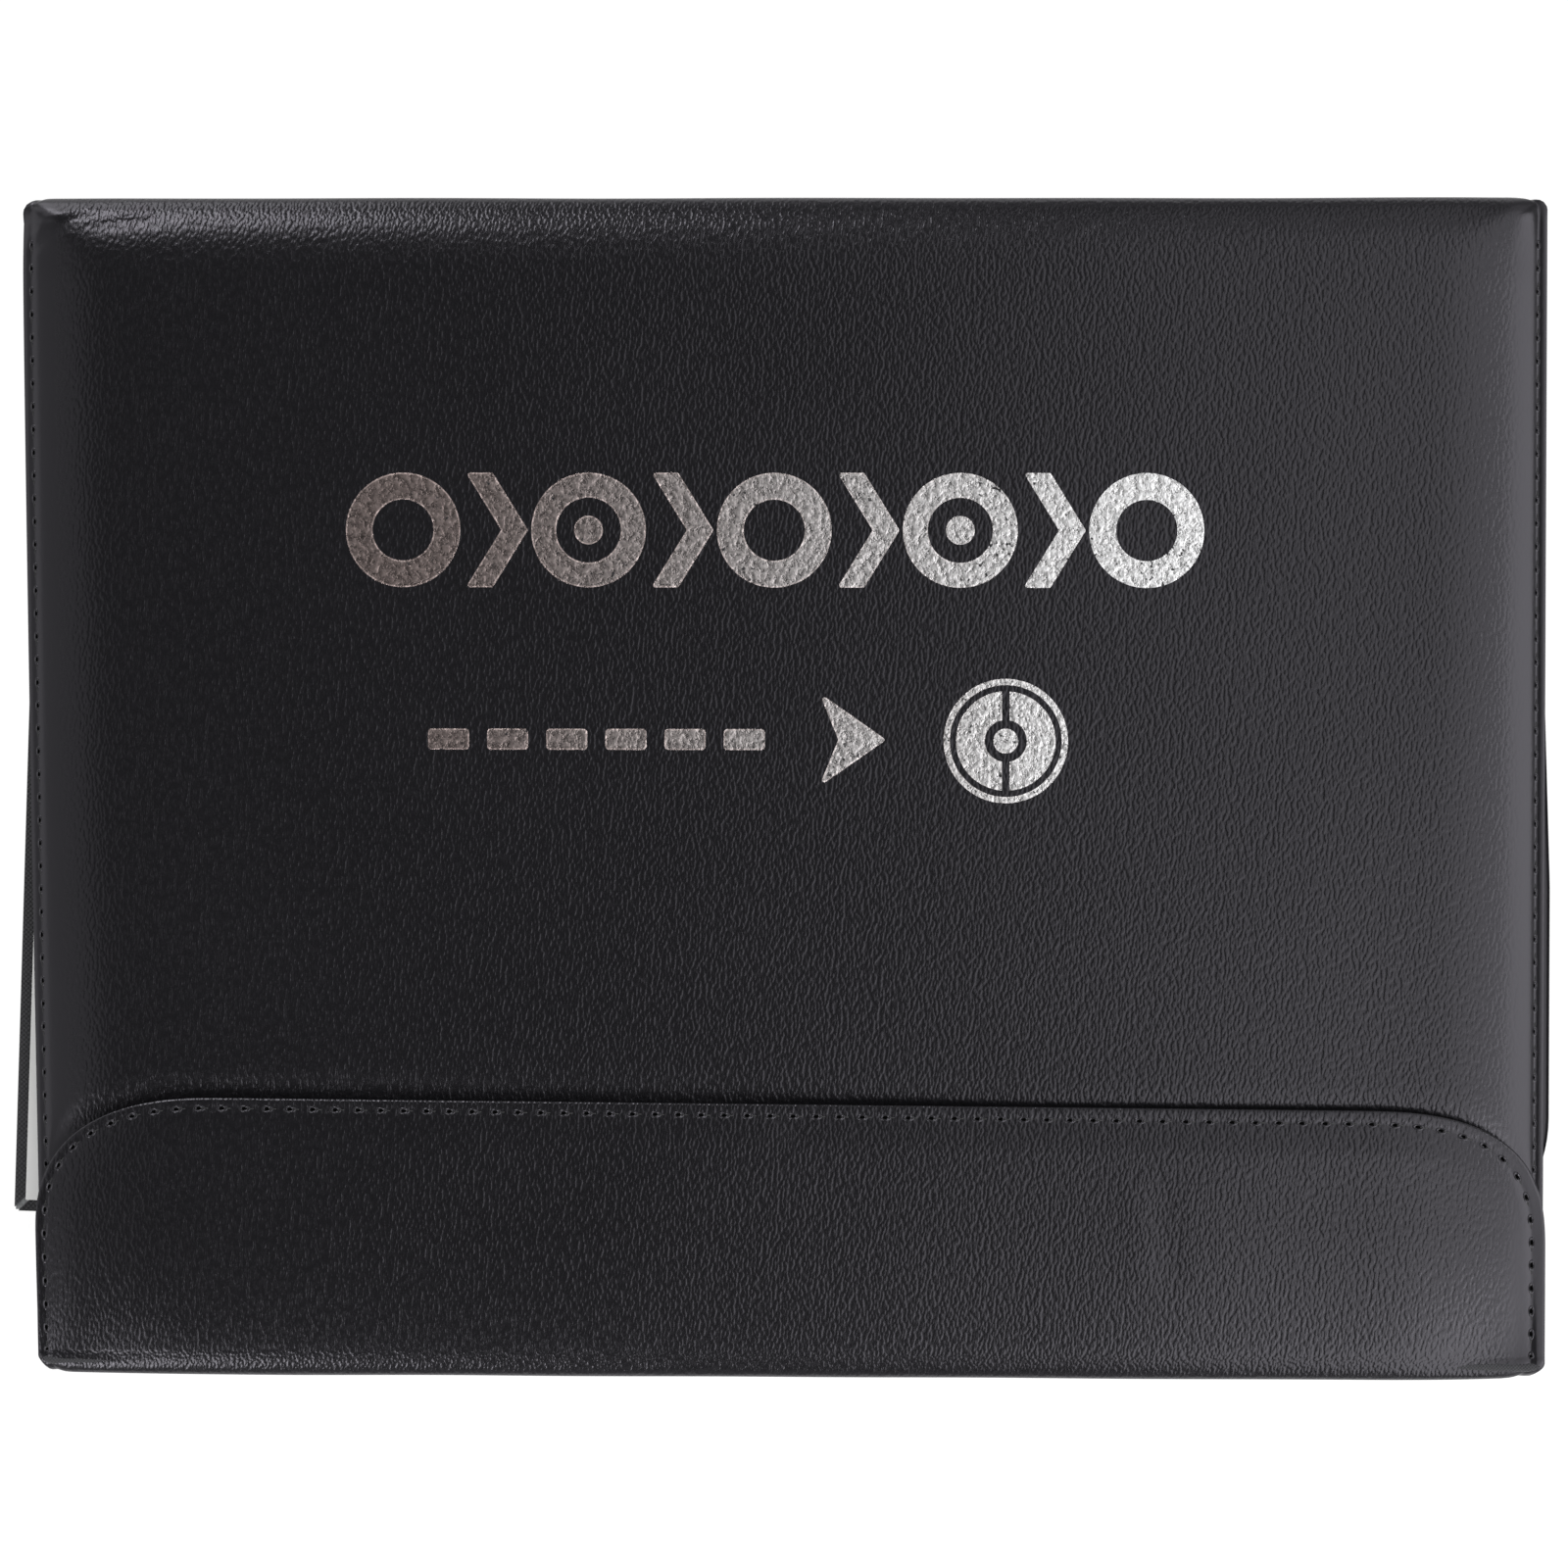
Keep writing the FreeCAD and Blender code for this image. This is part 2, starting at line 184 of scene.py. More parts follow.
class FoilSettings(bpy.types.PropertyGroup):
    """Sizes and colours of the pressed foil design."""

    ring_radius: length_of("Ring radius", "Outer radius of the large rings", 12 * MM)
    ring_stroke: length_of("Ring stroke", "Width of the large rings", 5.6 * MM)
    chevron_width: length_of("Chevron width", "Length of a chevron along the row", 13 * MM)
    row_height: length_of("Row place", "Height of the large row on the cover", 54 * MM)
    lift: length_of("Foil lift", "How far the foil stands on the leather", 0.03 * MM)
    # The rim is a brighter copy of the foil: a painted highlight along each shape's edge
    rim: length_of("Foil rim", "Width of the bright rim round each shape", 0.3 * MM)
    # The foil runs from the warm colour at the left to the bright one at the right: painted light from the
    # lamps on the right
    warm: colour_of("Warm foil", "Foil colour at the left", (0.36, 0.292, 0.278))
    bright: colour_of("Bright foil", "Foil colour at the right", (0.95, 0.95, 0.96))


class PitchSettings(bpy.types.PropertyGroup):
    """Sizes and colours of the pitch board."""

    line_width: length_of("Line width", "Width of the white lines", 1.1 * MM)
    line_inset: length_of("Line inset", "Distance of the outer lines from the edge of the green", 7 * MM)
    stripes: IntProperty(name="Stripes", description="Number of mown stripes", default=12, min=2)
    turn_in: length_of("Binding width", "Width of the binding on the board's face", 2.4 * MM)
    mitre_gap: length_of("Mitre gap", "Opening left at the binding's corners", 0.8 * MM)
    light_grass: colour_of("Light stripe", "Colour of the light stripes", (0.075, 0.29, 0.085))
    dark_grass: colour_of("Dark stripe", "Colour of the dark stripes", (0.050, 0.225, 0.062))
    white: colour_of("Board white", "Colour of the dry-wipe face and lines", (0.95, 0.95, 0.94))
    binding: colour_of("Binding", "Colour of the binding cloth", (0.030, 0.030, 0.033))


class PlaySettings(bpy.types.PropertyGroup):
    """Colours of the counters and the marker."""

    home: colour_of("Home counters", "Colour of the home counters", (0.60, 0.030, 0.028))
    away: colour_of("Away counters", "Colour of the away counters", (0.022, 0.075, 0.50))
    ball: colour_of("Ball", "Colour of the ball", (0.80, 0.80, 0.79))
    barrel: colour_of("Marker barrel", "Colour of the marker's barrel", (0.78, 0.78, 0.77))
    cap: colour_of("Marker cap", "Colour of the marker's cap", (0.016, 0.017, 0.019))
    felt: colour_of("Felt", "Colour of the eraser, the nib and the ink core", (0.10, 0.10, 0.11))


class StudioSettings(bpy.types.PropertyGroup):
    """The camera and the studio light."""

    camera_place: FloatVectorProperty(
        name="Camera place", description="Where the camera stands", size=3,
        default=(0.01959, 0.01504, 0.91399), subtype="TRANSLATION",
    )
    camera_turn: FloatVectorProperty(
        name="Camera turn", description="How the camera is turned", size=3,
        default=(math.radians(-0.9017), math.radians(1.2142), math.radians(0.1036)), subtype="EULER",
    )
    lens: FloatProperty(name="Lens", description="Focal length in millimetres", default=98.2, min=1)
    ceiling: radiance_of("Ceiling panel", "the ceiling panel", 1.1)
    wing: radiance_of("Ceiling wing", "the ceiling's right part", 1.5)
    near: radiance_of("Near wing", "the ceiling's near part", 1.95)
    side: radiance_of("Side softbox", "the right softbox", 3.2)
    corner: radiance_of("Corner softbox", "the far left softbox", 9.0)
    back: radiance_of("Back softbox", "the low far left softbox", 3.0)
    front: radiance_of("Front softbox", "the near left softbox", 3.5)
    low: radiance_of("Low softbox", "the low near left softbox", 10.0)
    panel: radiance_of("Front panel", "the front right panel", 3.0)
    rear: radiance_of("Rear panel", "the far right panel", 0.8)
    far: radiance_of("Far softbox", "the softbox beyond the left", 1.2)
    left: radiance_of("Left panel", "the dim left panel", 0.42)
    ground: radiance_of("Ground panel", "the low left panel", 0.7)


def settings(name):
    return getattr(bpy.context.scene, "tactics_" + name)


# Shader nodes


def node(tree, kind, inputs=None, **values):
    """Adds a shader node, sets its values and fills its inputs with numbers or links."""
    made = tree.nodes.new(kind)
    for key, value in values.items():
        setattr(made, key, value)
    for key, value in (inputs or {}).items():
        socket = made.inputs[key]
        if isinstance(value, bpy.types.NodeSocket):
            tree.links.new(value, socket)
        else:
            socket.default_value = value
    return made


def maths(tree, operation, *values, clamp=False):
    inputs = dict(enumerate(values))
    return node(tree, "ShaderNodeMath", inputs, operation=operation, use_clamp=clamp).outputs[0]


def ramp(tree, value, low, high, out_low=0.0, out_high=1.0):
    """Smooth step of a value between two levels."""
    levels = {0: value, 1: low, 2: high, 3: out_low, 4: out_high}
    return node(tree, "ShaderNodeMapRange", levels, interpolation_type="SMOOTHSTEP").outputs[0]


def mixed(tree, share, first, second):
    """Colour between two colours."""
    return node(tree, "ShaderNodeMix", {0: share, 6: first, 7: second}, data_type="RGBA").outputs[2]


def rgba(colour, share=1.0):
    return (colour[0] * share, colour[1] * share, colour[2] * share, 1.0)


def blank(name):
    """A new material with an empty tree, and its surface shader."""
    material = bpy.data.materials.new(name)
    material.use_nodes = True
    tree = material.node_tree
    tree.nodes.clear()
    output = node(tree, "ShaderNodeOutputMaterial")
    surface = node(tree, "ShaderNodeBsdfPrincipled")
    tree.links.new(surface.outputs[0], output.inputs[0])
    material.diffuse_color = (0.2, 0.2, 0.2, 1)
    return material, tree, surface


def millimetres(tree, by_uv=False):
    """Texture places in millimetres."""
    source = node(tree, "ShaderNodeTexCoord").outputs["UV" if by_uv else "Object"]
    return node(tree, "ShaderNodeMapping", {0: source, 3: (1 / MM,) * 3}).outputs[0]


def noise(tree, place, scale, detail=2.0, rough=0.5):
    return node(
        tree, "ShaderNodeTexNoise", {"Vector": place, "Scale": scale, "Detail": detail, "Roughness": rough}
    ).outputs[0]


def bumped(tree, surface, height, depth, strength=1.0):
    made = node(tree, "ShaderNodeBump", {"Strength": strength, "Distance": depth, "Height": height})
    tree.links.new(made.outputs[0], surface.inputs["Normal"])


def grain_height(tree):
    """Height of the pebbled grain: small long cells that lean to the right and fade at the side edges."""
    plain = millimetres(tree, by_uv=True)
    sway = node(tree, "ShaderNodeTexNoise", {"Vector": plain, "Scale": 0.5, "Detail": 2.0}).outputs[1]
    moved = node(tree, "ShaderNodeVectorMath", {0: sway, 1: (-0.5, -0.5, -0.5)}, operation="ADD").outputs[0]
    pushed = node(tree, "ShaderNodeVectorMath", {0: moved, "Scale": 0.5}, operation="SCALE").outputs[0]
    swayed = node(tree, "ShaderNodeVectorMath", {0: plain, 1: pushed}, operation="ADD").outputs[0]
    leaned = node(tree, "ShaderNodeMapping", {0: swayed, 2: (0, 0, GRAIN_LEAN)}).outputs[0]
    stretched = node(tree, "ShaderNodeMapping", {0: leaned, 3: GRAIN_STRETCH}).outputs[0]
    cells = node(
        tree, "ShaderNodeTexVoronoi", {"Vector": stretched, "Scale": 1.0, "Randomness": 1.0},
        feature="SMOOTH_F1", voronoi_dimensions="2D",
    ).outputs[0]
    lumps = ramp(tree, cells, 0.15, 0.75, 1.0, 0.0)
    fine = noise(tree, stretched, 1.7, 2.0, 0.5)
    coarse = noise(tree, stretched, 0.3, 2.0, 0.5)
    summed = maths(tree, "MULTIPLY_ADD", fine, 0.35, lumps)
    whole = maths(tree, "MULTIPLY_ADD", coarse, 0.5, summed)
    across, along = node(tree, "ShaderNodeSeparateXYZ", {0: plain}).outputs[:2]
    inside = ramp(tree, maths(tree, "ABSOLUTE", across), *GRAIN_SIDES, 1.0, 0.12)
    # The flap and the lower back have places below nought, and keep their grain at the left
    lower = maths(tree, "LESS_THAN", along, 0.0)
    lower_left = maths(tree, "MULTIPLY", ramp(tree, across, *LOWER_GRAIN_SIDE, 0.85, 0.0), lower)
    return maths(tree, "MULTIPLY", whole, maths(tree, "MAXIMUM", inside, lower_left)), plain


def leather_material():
    """Black leather with a soft shine, a little duller in the hollows of its grain."""
    style = settings("leather")
    material, tree, surface = blank("black_leather")
    height, plain = grain_height(tree)
    patches = noise(tree, plain, 0.02, 3.0)
    shade = mixed(tree, patches, rgba(style.colour, 0.85), rgba(style.colour, 1.15))
    worn = ramp(tree, height, 0.3, 1.3, 0.28, 0.22)
    tree.links.new(shade, surface.inputs["Base Color"])
    tree.links.new(worn, surface.inputs["Roughness"])
    surface.inputs["Specular IOR Level"].default_value = 0.5
    surface.inputs["Specular Tint"].default_value = (0.93, 0.90, 1.0, 1.0)
    bumped(tree, surface, height, 0.056 * MM, 0.8)
    return material


def foil_material(name, share, depth):
    """Crinkled foil, warm and dull at the left and bright at the right, worn through in places; the
    brightening towards the right is painted light from the lamps on that side.
    """
    style = settings("foil")
    material, tree, surface = blank(name)
    plain = millimetres(tree, by_uv=True)
    crinkle = noise(tree, plain, 0.62, 4.0, 0.6)
    mottle = noise(tree, plain, 1.1, 3.0, 0.6)
    tone = node(tree, "ShaderNodeSeparateXYZ", {0: plain}).outputs[0]
    # Painted light: the foil's colour brightens from left to right, as if lit from the right
    across = ramp(tree, tone, -85.0, 95.0)
    # A share above one, as the rims have, brightens the colour at the left: a painted highlight
    metal = mixed(tree, across, rgba(style.warm, share), rgba(style.bright, 1.0))
    shaded = mixed(tree, ramp(tree, mottle, 0.3, 0.62), rgba((0.05, 0.04, 0.038)), metal)
    body = mixed(tree, 0.38, metal, shaded)
    cloud = noise(tree, plain, 0.05, 3.0, 0.6)
    speck = noise(tree, plain, 0.95, 3.0, 0.6)
    loss = maths(tree, "ADD", maths(tree, "MULTIPLY", cloud, 0.5), speck)
    kept = ramp(tree, loss, 0.575, 0.61)
    colour = mixed(tree, kept, rgba(settings("leather").colour, 1.4), body)
    tree.links.new(colour, surface.inputs["Base Color"])
    tree.links.new(kept, surface.inputs["Metallic"])
    tree.links.new(ramp(tree, crinkle, 0.3, 0.7, 0.20, 0.36), surface.inputs["Roughness"])
    bumped(tree, surface, crinkle, depth, 0.9)
    return material


def weave_material(name, colour, pitch, depth, by_uv):
    """Plain-woven cloth with threads of a given pitch in millimetres, with painted shade in the weave's
    hollows and painted highlight on its raised threads.
    """
    material, tree, surface = blank(name)
    place = millimetres(tree, by_uv)
    axes = node(tree, "ShaderNodeSeparateXYZ", {0: place}).outputs
    rate = 2 * math.pi / pitch
    across = maths(tree, "SINE", maths(tree, "MULTIPLY", axes[0], rate))
    along = maths(tree, "SINE", maths(tree, "MULTIPLY", axes[1], rate))
    checks = maths(tree, "MULTIPLY", across, along)
    slub = noise(tree, place, 0.9, 3.0)
    height = maths(tree, "MULTIPLY_ADD", slub, 0.8, checks)
    # Painted shade and highlight: the cloth is darker where the weave's height is low and lighter on its
    # raised threads
    shade = mixed(tree, ramp(tree, height, -0.6, 1.4), rgba(colour, 0.45), rgba(colour, 1.5))
    tree.links.new(shade, surface.inputs["Base Color"])
    surface.inputs["Roughness"].default_value = 0.85
    surface.inputs["Sheen Weight"].default_value = 0.15
    bumped(tree, surface, height, depth, 0.7)
    return material


def plain_material(name, colour, roughness, scale, spread, depth, metallic):
    """A finish with soft cloudiness, fine surface texture and slightly uneven gloss."""
    material, tree, surface = blank(name)
    place = millimetres(tree)
    cloud = noise(tree, place, scale * 0.12, 3.0)
    fine = noise(tree, place, scale, 4.0, 0.6)
    shade = mixed(tree, cloud, rgba(colour, 1 - spread), rgba(colour, 1 + spread))
    tree.links.new(shade, surface.inputs["Base Color"])
    gloss = ramp(tree, fine, 0.25, 0.75, max(roughness - 0.06, 0.04), roughness + 0.06)
    tree.links.new(gloss, surface.inputs["Roughness"])
    surface.inputs["Metallic"].default_value = metallic
    bumped(tree, surface, fine, depth * MM, 0.5)
    return material


def hole_material():
    """Painted shade: a black, matt finish for the discs that stand for the shadowed inside of needle holes.
    """
    material, _, surface = blank("needle_hole_painted_shade")
    surface.inputs["Base Color"].default_value = (0.0015, 0.0015, 0.0015, 1.0)
    surface.inputs["Roughness"].default_value = 0.9
    surface.inputs["Specular IOR Level"].default_value = 0.0
    return material


def give(node_name, material):
    """Puts a material on a CAD node's object."""
    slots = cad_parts[node_name].data.materials
    slots.clear()
    slots.append(material)


# Finishes and surfaces, each made once
MADE = {}


def plain_finishes():
    """Each plain finish: name, colour, roughness, texture scale, cloudiness, depth in millimetres, metal."""
    leather, pitch, play = settings("leather"), settings("pitch"), settings("play")
    return {
        "thread": ("waxed_thread", leather.thread, 0.55, 6, 0.2, 0.04, 0),
        "board": ("grey_board", (0.26, 0.25, 0.23), 0.9, 2.5, 0.12, 0.05, 0),
        "core": ("white_board", (0.72, 0.72, 0.70), 0.8, 2.0, 0.06, 0.03, 0),
        "face": ("dry_wipe_face", pitch.white, 0.16, 0.4, 0.03, 0.01, 0),
        "light_grass": ("light_grass_ink", pitch.light_grass, 0.2, 0.8, 0.10, 0.008, 0),
        "dark_grass": ("dark_grass_ink", pitch.dark_grass, 0.2, 0.8, 0.10, 0.008, 0),
        "line": ("white_ink", pitch.white, 0.2, 1.2, 0.04, 0.008, 0),
        "steel": ("steel_sheet", (0.52, 0.53, 0.54), 0.34, 1.5, 0.08, 0.02, 1),
        "magnet": ("nickel_magnet", (0.62, 0.61, 0.60), 0.24, 1.5, 0.08, 0.01, 1),
        "home": ("home_plastic", play.home, 0.30, 1.2, 0.08, 0.02, 0),
        "away": ("away_plastic", play.away, 0.30, 1.2, 0.08, 0.02, 0),
        "ball": ("ball_plastic", play.ball, 0.28, 1.2, 0.04, 0.02, 0),
        "ink": ("black_ink", (0.012, 0.012, 0.013), 0.35, 1.2, 0.1, 0.01, 0),
        "barrel": ("barrel_plastic", play.barrel, 0.26, 1.0, 0.03, 0.012, 0),
        "cap": ("cap_plastic", play.cap, 0.32, 1.4, 0.1, 0.02, 0),
        "felt": ("pressed_felt", play.felt, 0.95, 5.0, 0.3, 0.15, 0),
    }


def finish_of(name):
    """A finish of the object, made once."""
    leather, pitch = settings("leather"), settings("pitch")
    makers = {
        "leather": leather_material,
        "hole": hole_material,
        "foil": lambda: foil_material("crinkled_foil", 1.0, 0.34 * MM),
        # A brighter copy of the foil for the rims: a painted highlight along the shapes' edges
        "foil_painted_highlight_rim": lambda: foil_material("foil_painted_highlight_rim", 2.6, 0.30 * MM),
        "lining": lambda: weave_material("lining_cloth", leather.lining, 0.7, 0.05 * MM, True),
        "binding": lambda: weave_material("binding_cloth", pitch.binding, 1.0, 0.12 * MM, False),
        "elastic": lambda: weave_material("woven_elastic", (0.016, 0.016, 0.018), 0.9, 0.06 * MM, False),
    }
    if name not in MADE:
        MADE[name] = makers[name]() if name in makers else plain_material(*plain_finishes()[name])
    return MADE[name]


def placed(made, body=None, nodes=()):
    """Hides the CAD nodes that a piece stands for and hangs it on the body that carries it."""
    if nodes:
        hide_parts(*nodes)
    if body:
        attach(made, body)


# Mesh building


def piece(name, vertices, faces, materials, uv=None):
    """A mesh of vertices and equal faces as a linked object."""
    mesh = bpy.data.meshes.new(name)
    mesh.from_pydata(np.asarray(vertices, float).tolist(), [], np.asarray(faces).tolist())
    return dressed(name, mesh, materials, uv)


def dressed(name, mesh, materials, uv=None, face_materials=None, sharp=42):
    """A mesh as a linked object, with smooth faces, sharp edges by angle and grain places in metres."""
    if uv is not None:
        while mesh.uv_layers:
            mesh.uv_layers.remove(mesh.uv_layers[0])
        layer = mesh.uv_layers.new(name="grain")
        corners = np.empty(len(mesh.loops), np.int32)
        mesh.loops.foreach_get("vertex_index", corners)
        layer.uv.foreach_set("vector", np.asarray(uv, np.float32)[corners].ravel())
    for material in materials:
        mesh.materials.append(material)
    if face_materials is not None:
        mesh.polygons.foreach_set("material_index", np.asarray(face_materials, np.int32))
    mesh.polygons.foreach_set("use_smooth", np.ones(len(mesh.polygons), bool))
    mesh.set_sharp_from_angle(angle=math.radians(sharp))
    mesh.update()
    made = bpy.data.objects.new(name, mesh)
    bpy.context.scene.collection.objects.link(made)
    return made


def outward(vertices, faces):
    """Faces turned so that the closed form they make has its outside out."""
    v = np.asarray(vertices)
    f = np.asarray(faces)
    first = np.einsum("ij,ij->i", v[f[:, 0]], np.cross(v[f[:, 1]], v[f[:, 2]]))
    second = np.einsum("ij,ij->i", v[f[:, 0]], np.cross(v[f[:, 2]], v[f[:, 3]]))
    return f if first.sum() + second.sum() > 0 else f[:, ::-1]


def closed_sheet(outer, inner):
    """Vertices and faces of a thin closed sheet between two grids."""
    rows, columns = outer.shape[:2]
    count = rows * columns
    index = np.arange(count).reshape(rows, columns)
    top = np.stack([index[:-1, :-1], index[:-1, 1:], index[1:, 1:], index[1:, :-1]], -1).reshape(-1, 4)
    rim = np.concatenate([index[0, :], index[1:, -1], index[-1, -2::-1], index[-2:0:-1, 0]])
    after = np.roll(rim, -1)
    wall = np.stack([after, rim, rim + count, after + count], -1)
    vertices = np.concatenate([outer.reshape(-1, 3), inner.reshape(-1, 3)])
    faces = np.concatenate([top, top[:, ::-1] + count, wall])
    return vertices, outward(vertices, faces)


def ring_walls(index):
    """Faces between neighbouring closed rings of vertices."""
    near, far = index[..., :-1, :], index[..., 1:, :]
    return np.stack([near, np.roll(near, -1, -1), np.roll(far, -1, -1), far], -1).reshape(-1, 4)


def tubes(lines, normals, radius, sides=6):
    """Vertices and faces of closed round tubes, one along each row of points."""
    lines = np.asarray(lines, float)
    count, steps = lines.shape[:2]
    along = np.gradient(lines, axis=1)
    along /= np.linalg.norm(along, axis=2, keepdims=True)
    side = np.cross(along, normals)
    side /= np.linalg.norm(side, axis=2, keepdims=True)
    up = np.cross(side, along)
    turn = np.arange(sides) * 2 * math.pi / sides
    ring = side[:, :, None] * np.cos(turn)[:, None] + up[:, :, None] * np.sin(turn)[:, None]
    vertices = (lines[:, :, None] + ring * radius).reshape(-1, 3)
    index = np.arange(count * steps * sides).reshape(count, steps, sides)
    caps = index[:, 0, ::-1].tolist() + index[:, -1].tolist()
    return vertices, ring_walls(index).tolist() + caps


def lathe(profile, sides, place):
    """Vertices and quad faces of a turned form, from (radius, height) pairs off the axis."""
    turn = np.arange(sides) * 2 * math.pi / sides
    profile = np.asarray(profile, float)
    ring = np.stack([np.cos(turn), np.sin(turn), np.zeros(sides)], -1)
    vertices = profile[:, None, :1] * ring + profile[:, None, 1:] * np.array((0, 0, 1.0))
    vertices = vertices.reshape(-1, 3) + np.asarray(place)
    index = np.arange(len(profile) * sides).reshape(len(profile), sides)
    return vertices, ring_walls(index).tolist() + [index[0, ::-1].tolist(), index[-1].tolist()]


def list_piece(name, parts, materials, sharp=42):
    """Several meshes as one object, each given as its material's number, its vertices and its faces."""
    vertices, faces, kinds, start = [], [], [], 0
    for kind, (points, rings) in parts:
        vertices.append(np.asarray(points, float))
        faces.extend([[i + start for i in ring] for ring in rings])
        kinds.extend([kind] * len(rings))
        start += len(points)
    mesh = bpy.data.meshes.new(name)
    mesh.from_pydata(np.concatenate(vertices).tolist(), [], faces)
    return dressed(name, mesh, materials, None, kinds, sharp)


def circle(x, y, radius, sides=72):
    turn = np.arange(sides) * 2 * math.pi / sides
    return [(x + radius * math.cos(t), y + radius * math.sin(t)) for t in turn]


def rounded(points, radius, steps=5):
    """An outline with its corners rounded."""
    made = []
    count = len(points)
    for i, corner in enumerate(points):
        here = Vector(corner)
        before = (Vector(points[i - 1]) - here).normalized()
        after = (Vector(points[(i + 1) % count]) - here).normalized()
        half = before.angle(after) / 2
        reach = radius / math.tan(half)
        start, end = here + before * reach, here + after * reach
        middle = here + (before + after).normalized() * (radius / math.sin(half))
        first, last = start - middle, end - middle
        sweep = first.angle_signed(last)
        for k in range(steps + 1):
            made.append(tuple(middle + Matrix.Rotation(-sweep * k / steps, 2) @ first))
    return made


def bar(x0, y0, x1, y1):
    return [(x0, y0), (x1, y0), (x1, y1), (x0, y1)]


def shrunk(outline, amount):
    """An outline moved in by an amount, or out where it runs the other way round."""
    points = np.asarray(outline, float)
    before, after = points - np.roll(points, 1, 0), np.roll(points, -1, 0) - points
    first = np.stack([-before[:, 1], before[:, 0]], -1) / np.linalg.norm(before, axis=1, keepdims=True)
    second = np.stack([-after[:, 1], after[:, 0]], -1) / np.linalg.norm(after, axis=1, keepdims=True)
    way = first + second
    way /= np.linalg.norm(way, axis=1, keepdims=True)
    reach = amount / np.maximum((way * first).sum(1, keepdims=True), 0.5)
    return (points + way * reach).tolist()


def turned_round(outline, hole):
    """An outline that runs anticlockwise, or clockwise for a hole."""
    points = np.asarray(outline, float)
    after = np.roll(points, -1, 0)
    area = (points[:, 0] * after[:, 1] - points[:, 1] * after[:, 0]).sum()
    return outline if (area > 0) != hole else outline[::-1]


def mesh_of(curve):
    """The mesh of a curve, which is then removed."""
    holder = bpy.data.objects.new("outline", curve)
    bpy.context.scene.collection.objects.link(holder)
    bpy.context.view_layer.update()
    made = bpy.data.meshes.new_from_object(holder.evaluated_get(bpy.context.evaluated_depsgraph_get()))
    made.materials.clear()
    bpy.data.objects.remove(holder)
    bpy.data.curves.remove(curve)
    return made


def flat_shapes(name, shapes, bottom, thickness, bevel, material, place=None):
    """Thin raised shapes, each a list of outlines in metres with holes inside its first."""
    whole = bmesh.new()
    for number, outlines in enumerate(shapes):
        curve = bpy.data.curves.new("outline", "CURVE")
        curve.dimensions = "2D"
        curve.fill_mode = "BOTH"
        curve.extrude = thickness / 2 - bevel
        curve.bevel_depth = bevel
        curve.bevel_resolution = 1
        curve.offset = -bevel
        for outline in outlines:
            spline = curve.splines.new("POLY")
            spline.points.add(len(outline) - 1)
            for point, (x, y) in zip(spline.points, outline):
                point.co = (x, y, 0, 1)
            spline.use_cyclic_u = True
        solid = mesh_of(curve)
        step = number * SHAPE_STEP
        solid.transform(Matrix.Translation((0, 0, bottom + thickness / 2 + step)))
        whole.from_mesh(solid)
        bpy.data.meshes.remove(solid)
    bmesh.ops.remove_doubles(whole, verts=whole.verts, dist=SHAPE_MERGE)
    bmesh.ops.dissolve_degenerate(whole, edges=whole.edges, dist=SHAPE_MERGE)
    mesh = bpy.data.meshes.new(name)
    whole.to_mesh(mesh)
    whole.free()
    if place is not None:
        mesh.transform(place)
    points = np.empty(len(mesh.vertices) * 3, np.float32)
    mesh.vertices.foreach_get("co", points)
    return dressed(name, mesh, [material], points.reshape(-1, 3)[:, :2], sharp=15)


# The leather wrap


class Run:
    """Profile of one length of the wrap: a flat panel, a rolled fold, then part of a spine's wall."""

    def __init__(self, end_y, side, up, panel_z, radius, roll_y, stop_z):
        self.end_y, self.side, self.up, self.radius = end_y, side, up, radius
        self.roll_z = panel_z - up * radius
        self.flat = abs(side * roll_y - end_y)
        self.arc = radius * math.pi / 2
        self.length = self.flat + self.arc + abs(stop_z - self.roll_z)

    def place(self, a):
        """Place of a point of the profile along the folder and in height, and the way it faces."""
        turn = np.clip((a - self.flat) / self.radius, 0, math.pi / 2)
        down = np.clip(a - self.flat - self.arc, 0, None)
        y = self.end_y + self.side * (np.minimum(a, self.flat) + self.radius * np.sin(turn))
        z = self.roll_z + self.up * (self.radius * np.cos(turn) - down)
        return y, z, self.side * np.sin(turn), self.up * np.cos(turn)

    def fold_rows(self, fold_steps, wall_steps, before=0.0):
        """Rows over the fold, from a little before it, and down the spine's wall."""
        start, end = self.flat - before, self.flat + self.arc
        fold, wall = np.linspace(start, end, fold_steps), np.linspace(end, self.length, wall_steps)
        return np.concatenate([fold, wall])

    def rolled(self, a):
        """Share of the fold that is passed."""
        return np.clip((a - self.flat) / self.arc, 0, 1)


def wrap_lean(x, y):
    """How far the whole wrap leans in at a place: nothing at the right and top, most at the lower left."""
    down = np.clip((110 * MM - y) / (220 * MM), 0, 1) ** 1.2
    return settings("leather").lean * down * np.clip(0.5 - x / (2 * HALF_WIDTH), 0, 1) ** 2


def padded_rise(t):
    """Rise of a padded edge: steep at first, then level."""
    return 1 - (1 - t) ** 2.3


def eased(t):
    """Smooth step from nought to one."""
    return t * t * (3 - 2 * t)


